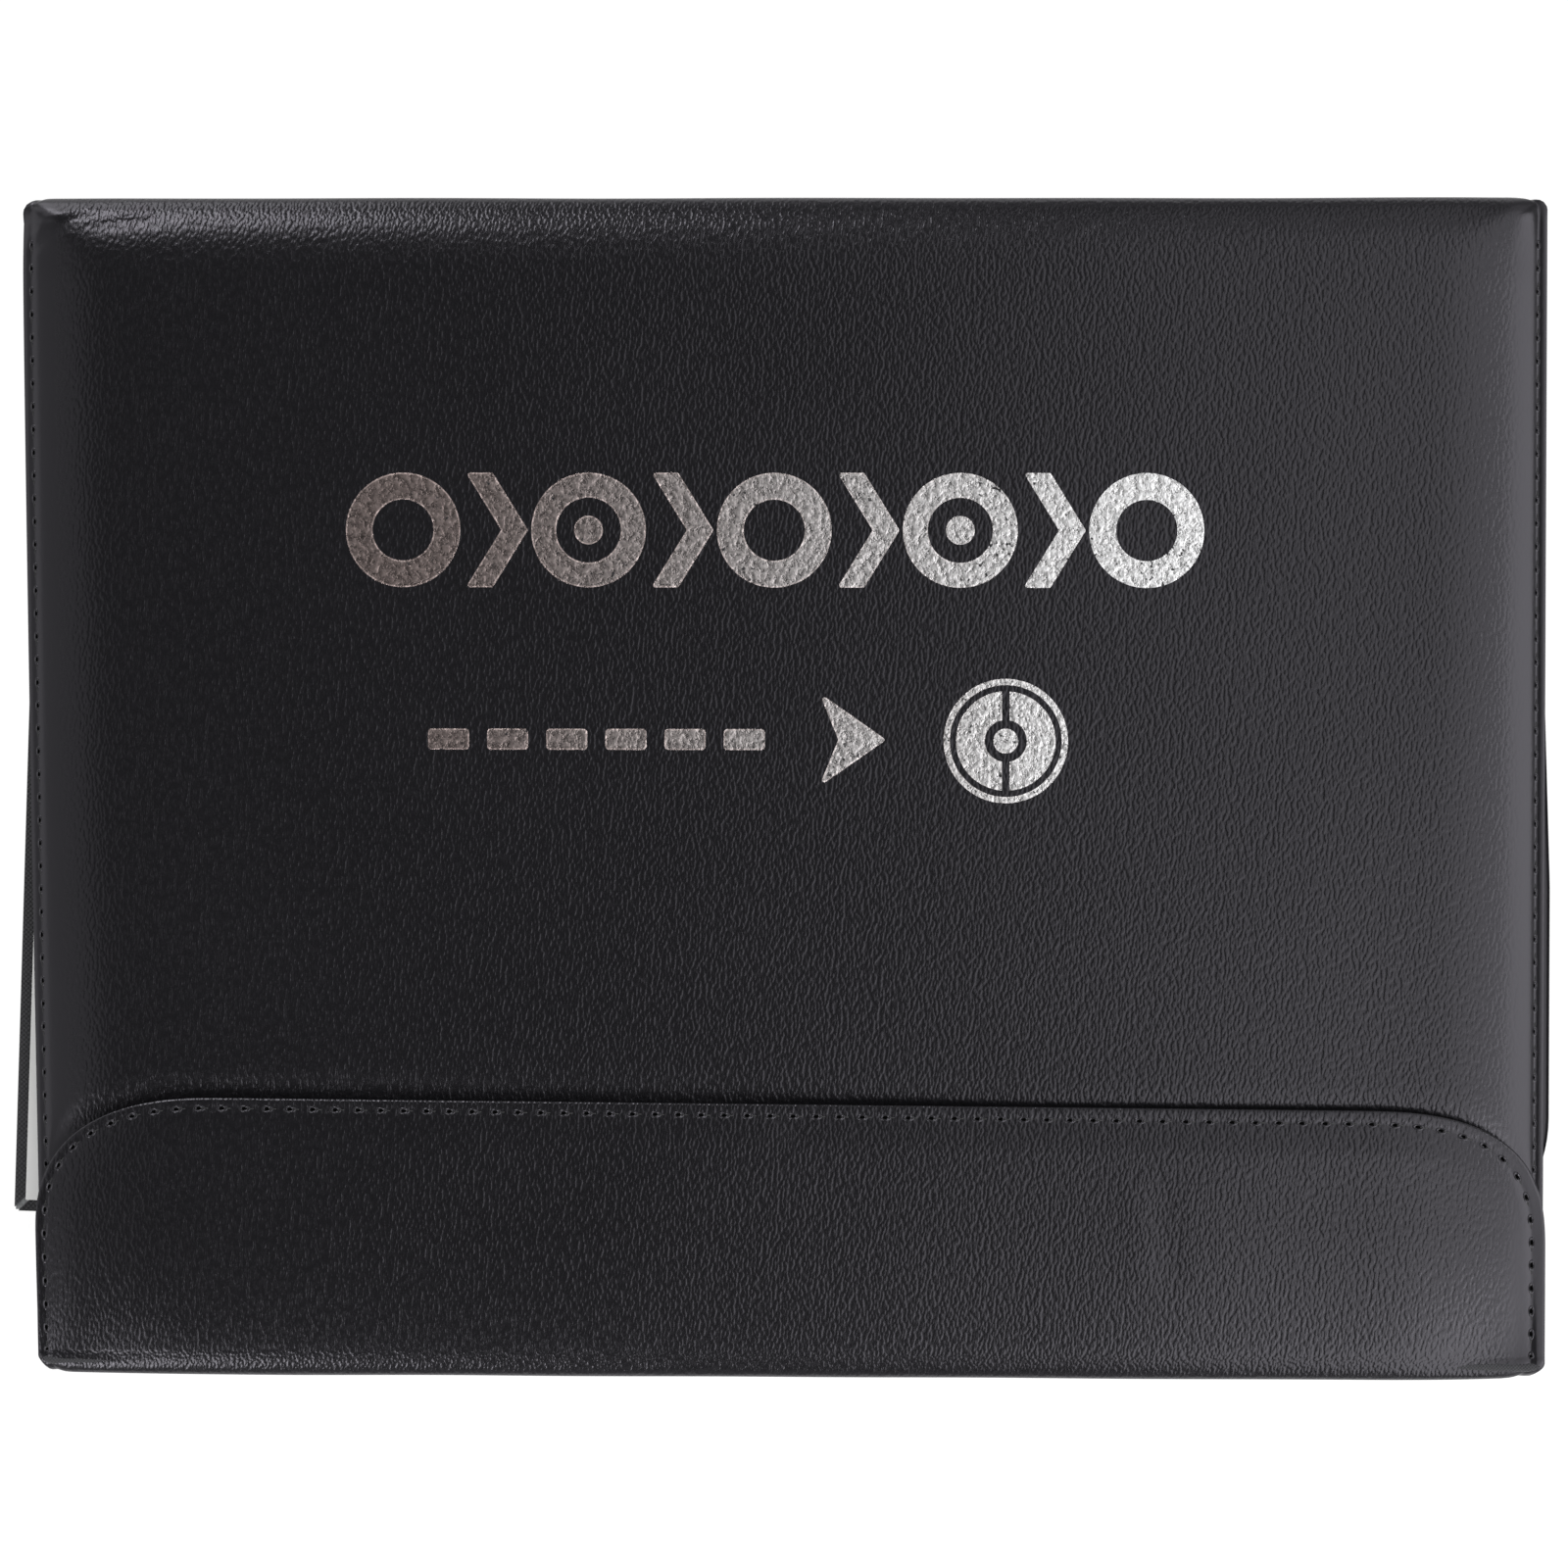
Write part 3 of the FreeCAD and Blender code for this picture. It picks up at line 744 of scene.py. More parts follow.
class Skin:
    """Surface of a sheet along a run: pressed edge, padded rise, seam groove and added reliefs."""

    GROOVE_WIDTH = 0.75 * MM
    CUT_DROP = 0.22 * MM
    CUT_WIDTH = 0.55 * MM
    SKEW_REACH = 50 * MM

    def __init__(
        self, run, half, corner, depth, wall_depth, rise_run, thickness, middle_x=0.0, free_end=True
    ):
        style = settings("leather")
        self.run, self.half, self.thickness = run, half, thickness
        self.depth, self.wall_depth, self.rise_run = depth, wall_depth, rise_run
        self.middle_x, self.free_end = middle_x, free_end
        self.wall_run, self.fold_corner = style.spine_run, style.fold_corner
        self.flat_edge = self.left_flat = style.flat_edge
        self.inset, self.inset_turn, self.groove = style.seam_inset, 0.0, style.groove
        self.rise, self.ease, self.gaps = padded_rise, 0.0, None
        self.corner = self.right_corner = corner
        self.power = self.right_power = 2.0
        self.lean, self.skew = wrap_lean, (0.0, 0.0)
        self.extra = []

    def narrowing(self, a):
        """What the rounded corner at a fold takes off each side."""
        turn = self.run.rolled(a) * math.pi / 2
        most = min(self.fold_corner, self.run.radius)
        reach = (self.run.radius - self.edge_depth(a)) * np.sin(turn)
        over = np.clip((reach - self.run.radius + self.wall_depth) / most + 1, 0, 1)
        return self.fold_corner * (1 - np.sqrt(1 - over**2))

    def half_at(self, a, side):
        """Half width of the sheet on one side."""
        across, along = self.right_corner if side > 0 else self.corner
        n = self.power_at(side)
        over = np.clip(1 - a / along, 0, 1) if along else 0 * a
        return self.half - across * (1 - (1 - over**n) ** (1 / n)) - self.narrowing(a)

    def power_at(self, x):
        """How square the sheet's corner is on the side of a place."""
        return np.where(np.asarray(x) > 0, self.right_power, self.power)

    def inset_at(self, x):
        """Distance of the seam from the edge."""
        return self.inset + self.inset_turn * x / self.half

    def distance(self, x, a):
        """Distance to the sheet's cut edge."""
        side = self.half - self.narrowing(a) - np.abs(x)
        if not self.free_end:
            return side
        across, along = (np.where(x > 0, right, left) for left, right in zip(self.corner, self.right_corner))
        over_x = np.maximum(np.abs(x) - (self.half - across), 0) / across
        over_a = np.maximum(along - a, 0) / along
        n = self.power_at(x)
        level = np.maximum(over_x**n + over_a**n, 1e-9) ** (1 / n)
        steep = level ** (1 - n) * np.hypot(over_x ** (n - 1) / across, over_a ** (n - 1) / along)
        bend = (1 - level) / np.maximum(steep, 1e-6)
        return np.where((over_x > 0) & (over_a > 0), bend, np.minimum(side, a))

    def passed(self, a):
        """Share of the way from the panel's own section to the spine's."""
        share = np.clip((a - self.run.flat + self.ease) / (self.ease + self.run.arc), 0, 1)
        return eased(share)

    def edge_depth(self, a):
        """Depth of the pressed edge, which runs on level over the fold until it meets the spine."""
        turn = np.minimum(self.run.rolled(a) * math.pi / 2, 1.5)
        level = self.run.radius - (self.run.radius - self.depth) / np.cos(turn)
        over = level - self.wall_depth
        return self.wall_depth + (over + np.sqrt(over**2 + (0.25 * MM) ** 2)) / 2

    def risen(self, x, d, a):
        """Share of the padded height that is reached at a distance from the edge."""
        run = self.rise_run + (self.wall_run - self.rise_run) * self.passed(a)
        flat = np.where(x > 0, self.flat_edge, self.left_flat)
        return self.rise(np.clip((d - flat) / run, 0, 1))

    def drop(self, x, a):
        """How far the surface lies below the padded top."""
        d = self.distance(x, a)
        low = self.edge_depth(a) * (1 - self.risen(x, d, a))
        low = low + self.groove * np.exp(-(((d - self.inset_at(x)) / self.GROOVE_WIDTH) ** 2))
        low = low + self.CUT_DROP * np.clip(1 - d / self.CUT_WIDTH, 0, 1) ** 2
        for relief in self.extra:
            low = low + relief(x, a, d)
        return low

    def point(self, x, a, lift):
        """Points a given height over the surface, and the ways they face."""
        y, z, face_y, face_z = self.run.place(a)
        out = lift - self.drop(x, a)
        faces = np.stack([np.zeros_like(x + face_y), face_y + 0 * x, face_z + 0 * x], -1)
        across, along = x + self.middle_x, y + out * face_y
        free = np.clip(1 - a / self.SKEW_REACH, 0, 1) ** 1.5
        slant = (self.skew[0] + self.skew[1] * x) * free
        return np.stack([across + self.lean(across, along), along + slant, z + out * face_z], -1), faces

    def hem(self, x, a):
        """What the turned edge adds to the sheet, so that it reaches the lining."""
        if self.gaps is None:
            return 0 * x
        panel, wall = self.gaps
        gap = panel + (wall - panel) * self.run.rolled(a) - self.edge_depth(a)
        return np.maximum(gap, 0) * (1 - self.risen(x, self.distance(x, a), a))

    def sheet(self, name, rows, inner_columns, edge_steps, material, filler=10):
        """The closed sheet as a piece, on a grid that is fine along its edges."""
        rows = np.unique(np.round(np.asarray(rows), 7))
        left, right = self.half_at(rows, -1)[:, None], self.half_at(rows, 1)[:, None]
        steps = np.asarray(edge_steps)[None, :]
        inner = np.asarray(inner_columns)[None, :] + 0 * left
        share = (np.arange(1, filler) / filler)[None, :]
        left_edge, right_edge = steps - left, right - steps[:, ::-1]
        left_fill = left_edge[:, -1:] + (inner[:, :1] - left_edge[:, -1:]) * share
        right_fill = inner[:, -1:] + (right_edge[:, :1] - inner[:, -1:]) * share
        x = np.concatenate([left_edge, left_fill, inner, right_fill, right_edge], 1)
        a = rows[:, None] + 0 * x
        outer, faces = self.point(x, a, 0)
        below = outer - (self.thickness + self.hem(x, a))[:, :, None] * faces
        vertices, polygons = closed_sheet(outer, below)
        uv = np.stack([x, self.run.side * a], -1).reshape(-1, 2)
        return piece(name, vertices, polygons, [material], np.concatenate([uv, uv + self.thickness]))


class Seam:
    """Even needle holes round the stitched edge of a sheet, or down its two sides only."""

    def __init__(self, skin, top, bottom=None, hole_size=HOLE_SIZE):
        self.skin, self.hole_size = skin, hole_size
        paths = [self.around(top)] if bottom is None else self.sides(top, bottom)
        self.paths = []
        for x, a in paths:
            far = np.concatenate([[0], np.cumsum(np.hypot(np.diff(x), np.diff(a)))])
            self.paths.append((far, x, a))
        total = self.paths[0][0][-1]
        self.count = max(1, round(total / settings("leather").stitch_pitch))
        self.step = total / self.count

    def around(self, top):
        """The sheet's edge moved in by the seam's inset: down the left, along the end and up the right."""
        skin = self.skin
        left_x, left_a = self.half_path(skin.corner, skin.power_at(-1), top)
        right_x, right_a = self.half_path(skin.right_corner, skin.power_at(1), top)
        x, a = np.concatenate([-left_x, right_x[-2::-1]]), np.concatenate([left_a, right_a[-2::-1]])
        dx, da = np.gradient(x), np.gradient(a)
        size = np.hypot(dx, da)
        inset = skin.inset_at(x)
        return x - da / size * inset, a + dx / size * inset

    def half_path(self, corner, power, top):
        """One half of the sheet's edge, from the top of a side to the middle of the end."""
        across, along = corner
        half, bend = self.skin.half, 2 / power
        turn = np.linspace(0, math.pi / 2, 160)
        side = np.linspace(top, along, 80)[:-1]
        x = np.concatenate([
            half + 0 * side, half - across + across * np.cos(turn) ** bend,
            np.linspace(half - across, 0, 60)[1:],
        ])
        return x, np.concatenate([side, along - along * np.sin(turn) ** bend, np.zeros(59)])

    def sides(self, top, bottom):
        """Two straight rows, one down each side."""
        a = np.linspace(top, bottom, 60)
        x = self.skin.half_at(a, 1) - self.skin.inset
        return [(x, a), (-x, a)]

    def at(self, path, s):
        """Places at given distances along a path."""
        far, x, a = path
        return np.interp(s, far, x), np.interp(s, far, a)

    def holes(self):
        """Hole places with the seam's direction, as rows."""
        rows = []
        s = (np.arange(self.count) + 0.5) * self.step
        for path in self.paths:
            x, a = self.at(path, s)
            back, ahead = self.at(path, s - 0.2 * MM), self.at(path, s + 0.2 * MM)
            dx, da = ahead[0] - back[0], ahead[1] - back[1]
            size = np.hypot(dx, da)
            rows.append(np.stack([x, a, dx / size, da / size], -1))
        return np.concatenate(rows)

    def puckers(self, base, facing):
        """The low rim that the needle raises round each hole, and a black disc over the hole, painted shade
        for its dark inside.
        """
        holes = self.holes()
        long, wide = self.hole_size
        turn = np.arange(14) * 2 * math.pi / 14
        shares = np.array((1.9, 1.55, 1.25, 1.0, 0.82))
        lifts = np.array((-0.10, 0.05, 0.11, 0.05, 0.015)) * MM
        cos, sin = (shares[:, None] * way(turn)[None, :] for way in (np.cos, np.sin))
        hx, ha, dx, da = (holes[:, k, None, None] for k in range(4))
        x = hx + long * cos * dx - wide * sin * da
        a = ha + long * cos * da + wide * sin * dx
        points, _ = self.skin.point(x, a, base + facing * lifts[None, :, None])
        count, _, sides = x.shape
        index = np.arange(x.size).reshape(x.shape)
        rims = ring_walls(index).tolist() + index[:, 0, ::-1].tolist()
        # Black discs over the holes: painted shade where the inside of each hole lies in shadow
        painted_shade_floors = np.arange(count * sides).reshape(count, sides).tolist()
        return [(2, (points.reshape(-1, 3), rims)), (1, (points[:, -1].reshape(-1, 3), painted_shade_floors))]

    def stitches(self, name, facing=1):
        """Short lengths of thread between the holes, and the puckered holes, as one piece."""
        style = settings("leather")
        shares = np.array((0.03, 0.12, 0.24, 0.36, 0.47))
        lifts = np.array((-0.34, -0.10, -0.06, -0.10, -0.34)) * MM
        base = 0 if facing > 0 else -self.skin.thickness
        s = (np.arange(self.count - 1)[:, None] + 0.5 + shares[None, :]) * self.step
        parts = []
        for path in self.paths:
            x, a = self.at(path, s)
            points, faces = self.skin.point(x, a, base + facing * lifts[None, :])
            parts.append((0, tubes(points, faces * facing, style.thread_radius)))
        parts += self.puckers(base, facing)
        # The hole finish paints the shade inside the needle holes
        return list_piece(name, parts, [finish_of("thread"), finish_of("hole"), finish_of("leather")])


def corner_rows(skin, steps):
    """Rows that follow the rounded corners of a sheet's free end."""
    turn = np.sin(np.linspace(0, math.pi / 2, steps))
    sides = ((skin.corner[1], skin.power_at(-1)), (skin.right_corner[1], skin.power_at(1)))
    return np.concatenate([along * (1 - turn ** (2 / power)) for along, power in sides])


def waves(seed, height, shortest, longest):
    """Soft seeded unevenness of a sheet, as a relief."""
    draw = np.random.default_rng(seed)
    turns = draw.uniform(0, math.pi, 7)
    lengths = draw.uniform(shortest, longest, 7)
    phases = draw.uniform(0, 2 * math.pi, 7)

    def relief(x, a, d):
        total = 0 * x
        for turn, length, phase in zip(turns, lengths, phases):
            total = total + np.sin((x * math.cos(turn) + a * math.sin(turn)) * 2 * math.pi / length + phase)
        return height / 7 * total * np.clip((d - 4 * MM) / (12 * MM), 0, 1)

    return relief


def crease(start, end, width, depth):
    """A crease between two places on a sheet: a valley with a low ridge beside it."""
    start, end = np.array(start), np.array(end)
    way = end - start
    length = np.linalg.norm(way)
    way = way / length

    def relief(x, a, d):
        along = ((x - start[0]) * way[0] + (a - start[1]) * way[1]) / length
        across = (a - start[1]) * way[0] - (x - start[0]) * way[1]
        fade = np.clip(along / 0.2, 0, 1) * np.clip((1 - along) / 0.2, 0, 1)
        valley = np.exp(-((across / width) ** 2)) - 0.6 * np.exp(-(((across - 1.8 * width) / width) ** 2))
        return depth * fade * valley

    return relief


# Distances of a sheet's outer columns from its edge, close together at the seam
EDGE_STEPS = np.array((
    0, 0.3, 0.7, 1.15, 1.4, 1.65, 1.9, 2.15, 2.4, 2.65, 3.0, 3.6, 4.5, 6, 8, 10.5, 13.5, 17.5, 22,
)) * MM


def skins():
    """The four lengths of the leather wrap."""
    style = settings("leather")
    if "skins" in MADE:
        return MADE["skins"]
    cover = Skin(
        Run(COVER_END, 1, 1, COVER_TOP, FOLD_RADIUS, ROLL_Y, TOP_SPINE_MIDDLE),
        HALF_WIDTH, COVER_CORNER, COVER_FLANGE, SPINE_FLANGE, style.cover_run, LEATHER,
    )
    flap = Skin(
        Run(FLAP_END, -1, 1, FLAP_TOP, FOLD_RADIUS, ROLL_Y, BOTTOM_SPINE_MIDDLE),
        HALF_WIDTH, FLAP_CORNER, FLAP_EDGE, SPINE_FLANGE, style.flap_run, LEATHER,
    )
    flap.rise, flap.inset, flap.inset_turn, flap.skew = eased, style.flap_inset, 0.5 * MM, FLAP_SKEW
    flap.right_corner, (flap.power, flap.right_power) = FLAP_RIGHT_CORNER, FLAP_POWERS
    cover.left_flat = flap.left_flat = LEFT_FLAT_EDGE
    upper = Skin(
        Run(0, 1, -1, 0, FOLD_RADIUS, ROLL_Y, TOP_SPINE_MIDDLE),
        HALF_WIDTH, (0, 0), 0, SPINE_FLANGE, style.spine_run, LEATHER, free_end=False,
    )
    lower = Skin(
        Run(0, -1, -1, 0, FOLD_RADIUS, ROLL_Y, BOTTOM_SPINE_MIDDLE),
        HALF_WIDTH, (0, 0), 0, SPINE_FLANGE, style.spine_run, LEATHER, free_end=False,
    )
    cover.ease = 10 * MM
    for skin, panel_gap in ((cover, COVER_FLANGE), (flap, FLAP_FLANGE), (upper, 0.0), (lower, 0.0)):
        skin.gaps = (panel_gap, SPINE_BOARD)
    MADE["skins"] = {"cover": cover, "flap": flap, "upper": upper, "lower": lower}
    return MADE["skins"]


def off_edge(d):
    """Share of a relief's full depth at a distance from the sheet's edge."""
    share = np.clip((d - RELIEF_START) / RELIEF_EASE, 0, 1)
    return 1 - (1 - share) ** 2


def sag_to_fold(run, reach, left_share):
    """The padded panel rounds off softly before its fold: its section there is part of a long ellipse."""
    a = np.concatenate([
        np.linspace(run.flat - reach, run.flat, 60), np.linspace(run.flat, run.flat + run.arc, 60)[1:],
    ])
    turn = run.rolled(a) * math.pi / 2
    across = reach + np.minimum(a - run.flat, 0)
    least, most = np.zeros(len(a)), np.full(len(a), 4 * MM)
    for _ in range(40):
        deep = (least + most) / 2
        u = across + (run.radius - deep) * np.sin(turn)
        w = (run.radius - deep) * np.cos(turn)
        inside = (u / (run.radius + reach)) ** 2 + (w / run.radius) ** 2 < 1
        least, most = np.where(inside, least, deep), np.where(inside, deep, most)

    def relief(x, along, d):
        least = np.where(x > 0, 0.0, left_share)
        return np.interp(along, a, most, right=0.0) * (least + (1 - least) * off_edge(d))

    return relief


def flap_dip(run, reach, depth):
    """The flap's edge presses a soft line into the padding, which moves in under the flap to the right."""

    def relief(x, a, d):
        edge = FLAP_END + FLAP_SKEW[0] + FLAP_SKEW[1] * x
        across, along = (np.where(x > 0, right, left) for left, right in zip(FLAP_CORNER, FLAP_RIGHT_CORNER))
        over = np.clip((np.abs(x) - (HALF_WIDTH - across)) / across, 0, 1)
        power = np.where(x > 0, FLAP_POWERS[1], FLAP_POWERS[0])
        edge = edge - along * (1 - (1 - over**power) ** (1 / power))
        away = (run.place(a)[0] - edge) / reach + 0.9 * np.clip((x + 10 * MM) / (60 * MM), 0, 1)
        under = 0.45 + 0.55 * np.exp(-((0.72 * away) ** 2))
        dent = np.where(away > 0, np.exp(-(away**2)), under)
        return depth * dent * off_edge(d)

    return relief


def flap_fall(run, past_fold=False):
    """The flap bends down over the cover's padded sides, more at the right, as far as its fold or past it."""
    style = settings("leather")

    def relief(x, a, d):
        inside = np.clip((HALF_WIDTH - np.abs(x) - style.flat_edge) / style.flap_reach, 0, 1)
        most = style.flap_fall * np.where(x > 0, 1.0, 0.6)
        fall = most * (1 - inside) ** 2.3
        if not past_fold:
            return fall * (1 - run.rolled(a)) ** 2
        past = np.clip((a - run.flat) / (run.length - run.flat), 0, 1)
        return fall * (1 - eased(past))

    return relief


def flat_area(relief, x0, x1, a0, a1):
    """Keeps a relief off the pressed area of the foil."""

    def calm(x, a, d):
        off_x = np.maximum(np.maximum(x0 - x, x - x1), 0)
        off_a = np.maximum(np.maximum(a0 - a, a - a1), 0)
        return relief(x, a, d) * np.clip(np.hypot(off_x, off_a) / (15 * MM), 0, 1)

    return calm


def bent(made):
    """Bakes a sheet's place into its mesh."""
    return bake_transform(made)


class TACTICS_OT_cover_leather(bpy.types.Operator):
    """Padded leather of the front cover, with its rolled fold and stitched edge"""

    bl_idname = "tactics.cover_leather"
    bl_label = "Cover leather"

    def execute(self, context):
        skin = skins()["cover"]
        run = skin.run
        seam = Seam(skin, run.flat - 2.2 * MM)
        skin.extra = [
            flat_area(waves(3, 0.22 * MM, 55 * MM, 120 * MM), *FOIL_AREA),
            sag_to_fold(run, *COVER_SAG),
            flap_dip(run, 3.6 * MM, 1.1 * MM),
            crease((-156 * MM, 237.0 * MM), (-143 * MM, 242.5 * MM), 1.1 * MM, 0.32 * MM),
            crease((-159 * MM, 232.5 * MM), (-151 * MM, 238.5 * MM), 0.9 * MM, 0.28 * MM),
            crease((-151 * MM, 236.5 * MM), (-128 * MM, 240.0 * MM), 1.8 * MM, 0.14 * MM),
        ]
        rows = np.concatenate([
            corner_rows(skin, 24), np.linspace(skin.corner[1], run.flat, 190), run.fold_rows(22, 6, 1.5 * MM),
        ])
        columns = np.linspace(-118 * MM, 118 * MM, 40)
        made = skin.sheet("front_cover_leather", rows, columns, EDGE_STEPS, finish_of("leather"), 5)
        placed(made, nodes=("cover_leather", "cover_foam"))
        thread = seam.stitches("front_cover_stitching")
        placed(thread)
        for sewn in (made, thread):
            bent(sewn)
        return {"FINISHED"}


class TACTICS_OT_flap_leather(bpy.types.Operator):
    """Leather of the closing flap, with its rolled fold and stitched edge"""

    bl_idname = "tactics.flap_leather"
    bl_label = "Flap leather"

    def execute(self, context):
        skin = skins()["flap"]
        run = skin.run
        seam = Seam(skin, run.flat + 2.6 * MM, hole_size=FLAP_HOLE_SIZE)
        skin.extra = [
            waves(11, 0.25 * MM, 45 * MM, 110 * MM), flap_fall(run, True), sag_to_fold(run, *FLAP_SAG),
            crease((79 * MM, 12 * MM), (81 * MM, 40 * MM), 2.6 * MM, 0.10 * MM),
        ]
        deeper = skin.inset - settings("leather").seam_inset
        steps = np.where(EDGE_STEPS > 0.8 * MM, EDGE_STEPS + deeper, EDGE_STEPS)
        rows = np.concatenate([
            steps, corner_rows(skin, 40), np.linspace(skin.corner[1], run.flat, 40),
            run.fold_rows(18, 6, 1.5 * MM),
        ])
        columns = np.linspace(-92 * MM, 92 * MM, 64)
        made = skin.sheet("flap_leather_outer", rows, columns, steps, finish_of("leather"), 16)
        placed(made, nodes=("flap_leather",))
        thread = seam.stitches("flap_stitching")
        placed(thread)
        for sewn in (made, thread):
            bent(sewn)
        self.board(skin)
        return {"FINISHED"}

    def board(self, outer):
        """The flap's bent stiffening board, between its leather and its lining."""
        low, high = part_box("flap_stiffener")
        inset = HALF_WIDTH - high.x
        run = Run(high.y, -1, 1, high.z, 1 * MM, -low.y, low.z)
        corner = tuple(reach - inset for reach in outer.corner)
        skin = Skin(run, high.x, corner, 0.0, 0.0, 2 * MM, (high.z - low.z) * 0.9)
        skin.right_corner = tuple(reach - inset for reach in outer.right_corner)
        skin.power, skin.right_power, skin.groove = outer.power, outer.right_power, 0.0
        shift = outer.run.end_y - run.end_y
        skin.extra = [lambda x, a, d: sum(relief(x, a + shift, d + inset) for relief in outer.extra)]
        rows = np.concatenate([corner_rows(skin, 20), np.linspace(skin.corner[1], run.flat, 24)])
        columns = np.linspace(-100 * MM, 100 * MM, 24)
        made = skin.sheet("flap_board", rows, columns, EDGE_STEPS[::3], finish_of("board"), 5)
        placed(made, "flap", ("flap_stiffener",))


class TACTICS_OT_back_leather(bpy.types.Operator):
    """Leather of the back and of the two spines' lower halves"""

    bl_idname = "tactics.back_leather"
    bl_label = "Back leather"

    def execute(self, context):
        made_of = (
            ("upper", "top_spine", ("back_leather", "top_spine_leather")),
            ("lower", "bottom_spine", ("bottom_spine_leather",)),
        )
        columns = np.linspace(-118 * MM, 118 * MM, 30)
        for key, spine, nodes in made_of:
            skin = skins()[key]
            run = skin.run
            rows = np.concatenate([np.linspace(0, run.flat, 40), run.fold_rows(16, 8)])
            made = skin.sheet(f"{key}_back_leather", rows, columns, EDGE_STEPS, finish_of("leather"), 4)
            placed(made, nodes=nodes)
            bent(made)
            seam = Seam(skin, run.length - 0.6 * MM, run.flat + run.arc - 1.0 * MM)
            placed(seam.stitches(f"{spine}_lower_stitching"), spine)
        return {"FINISHED"}


class TACTICS_OT_linings(bpy.types.Operator):
    """Lining cloth of the panels, spines and folds, and the pocket inside the cover"""

    bl_idname = "tactics.linings"
    bl_label = "Linings and pocket"

    def execute(self, context):
        back_z = BACK_LINING_TOP - LINING
        made_of = (
            (
                "cover_lining_cloth", "cover", COVER_END + LINING_INSET, 1, COVER_LINING_TOP,
                "front_cover", "top_spine", ("cover_lining", "top_spine_lining"),
            ),
            (
                "flap_lining_cloth", "flap", FLAP_END - LINING_INSET, 1, FLAP_LINING_TOP,
                "flap", "bottom_spine", ("flap_lining", "bottom_spine_lining"),
            ),
            ("upper_back_lining_cloth", "upper", 0, -1, back_z, "back_panel", "top_spine", ("back_lining",)),
            ("lower_back_lining_cloth", "lower", 0, -1, back_z, "back_panel", "bottom_spine", ()),
        )
        steps = EDGE_STEPS[[0, 3, 6, 10, 11, 13, 15, 17]]
        columns = np.linspace(-106 * MM, 106 * MM, 24)
        for name, key, end_y, up, panel_z, panel, spine, nodes in made_of:
            side, stop_z = SPINES[spine]
            run = Run(end_y, side, up, panel_z, LINING_FOLD_RADIUS, LINING_ROLL_Y, stop_z)
            skin = self.lining_skin(run, key, up > 0)
            rows = np.concatenate([
                corner_rows(skin, 16) if skin.free_end else np.zeros(1),
                np.linspace(skin.corner[1], run.flat, 30), run.fold_rows(10, 6),
            ])
            made = skin.sheet(name, rows, columns, steps, finish_of("lining"), 5)
            placed(made, nodes=nodes)
            bent(made)
            seam = Seam(skin, run.flat - 3 * MM, None if skin.free_end else 1 * MM)
            placed(seam.stitches(f"{name}_stitching", -1), panel)
        self.pocket()
        return {"FINISHED"}

    def lining_skin(self, run, key, free_end):
        """A lining's surface, with the outline of the leather that it is sewn to."""
        outer = skins()[key]
        depth = 0 if free_end else BACK_LINING_FLANGE
        skin = Skin(
            run, HALF_WIDTH - LINING_INSET, outer.corner, depth, 0, 2.2 * MM, LINING, free_end=free_end
        )
        skin.flat_edge = skin.left_flat = 3.0 * MM
        skin.groove = 0.0
        skin.power, skin.right_power, skin.right_corner = outer.power, outer.right_power, outer.right_corner
        skin.inset, skin.inset_turn, skin.skew = outer.inset, outer.inset_turn, outer.skew
        if key == "cover":
            sag = sag_to_fold(outer.run, *COVER_SAG)
            skin.extra = [
                lambda x, a, d: np.where(x < 0, sag(x, a + LINING_INSET, 0 * d), 0)
                * np.clip(1 - d / RELIEF_EASE, 0, 1) ** 2 * (1 - run.rolled(a))
            ]
        if key == "flap":
            sag = sag_to_fold(outer.run, *FLAP_SAG)
            skin.extra = [
                flap_fall(run),
                lambda x, a, d: sag(x, a + LINING_INSET, d + LINING_INSET) * (1 - run.rolled(a)),
            ]
        return skin

    def pocket(self):
        """A leather pocket for papers, sewn to the cover's lining round its sides and rounded lower end."""
        low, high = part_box("inside_pocket")
        half = (high.x - low.x) / 2
        run = Run(low.y, 1, -1, low.z, 1 * MM, high.y, low.z + 2 * MM)
        skin = Skin(run, half, POCKET_CORNER, 0.0, 0.0, 2 * MM, high.z - low.z, (low.x + high.x) / 2)
        skin.extra = [waves(5, -0.10 * MM, 60 * MM, 120 * MM)]
        skin.lean = self.pocket_lean
        rows = np.concatenate([corner_rows(skin, 22), np.linspace(POCKET_CORNER[1], run.flat, 60)])
        columns = np.linspace(-108 * MM, 108 * MM, 30)
        made = skin.sheet("pocket_panel", rows, columns, EDGE_STEPS, finish_of("leather"), 5)
        placed(made, "front_cover", ("inside_pocket",))
        thread = Seam(skin, run.flat - 1 * MM).stitches("pocket_stitching")
        placed(thread, "front_cover")

    def pocket_lean(self, x, y):
        """The pocket lies a little askew: its right edge shows past the cover low down only."""
        turn = 0.65 * MM - 1.9 * MM * np.clip((y + 20 * MM) / (60 * MM), 0, 1)
        return turn * np.clip(0.5 + x / (2 * HALF_WIDTH), 0, 1) ** 2


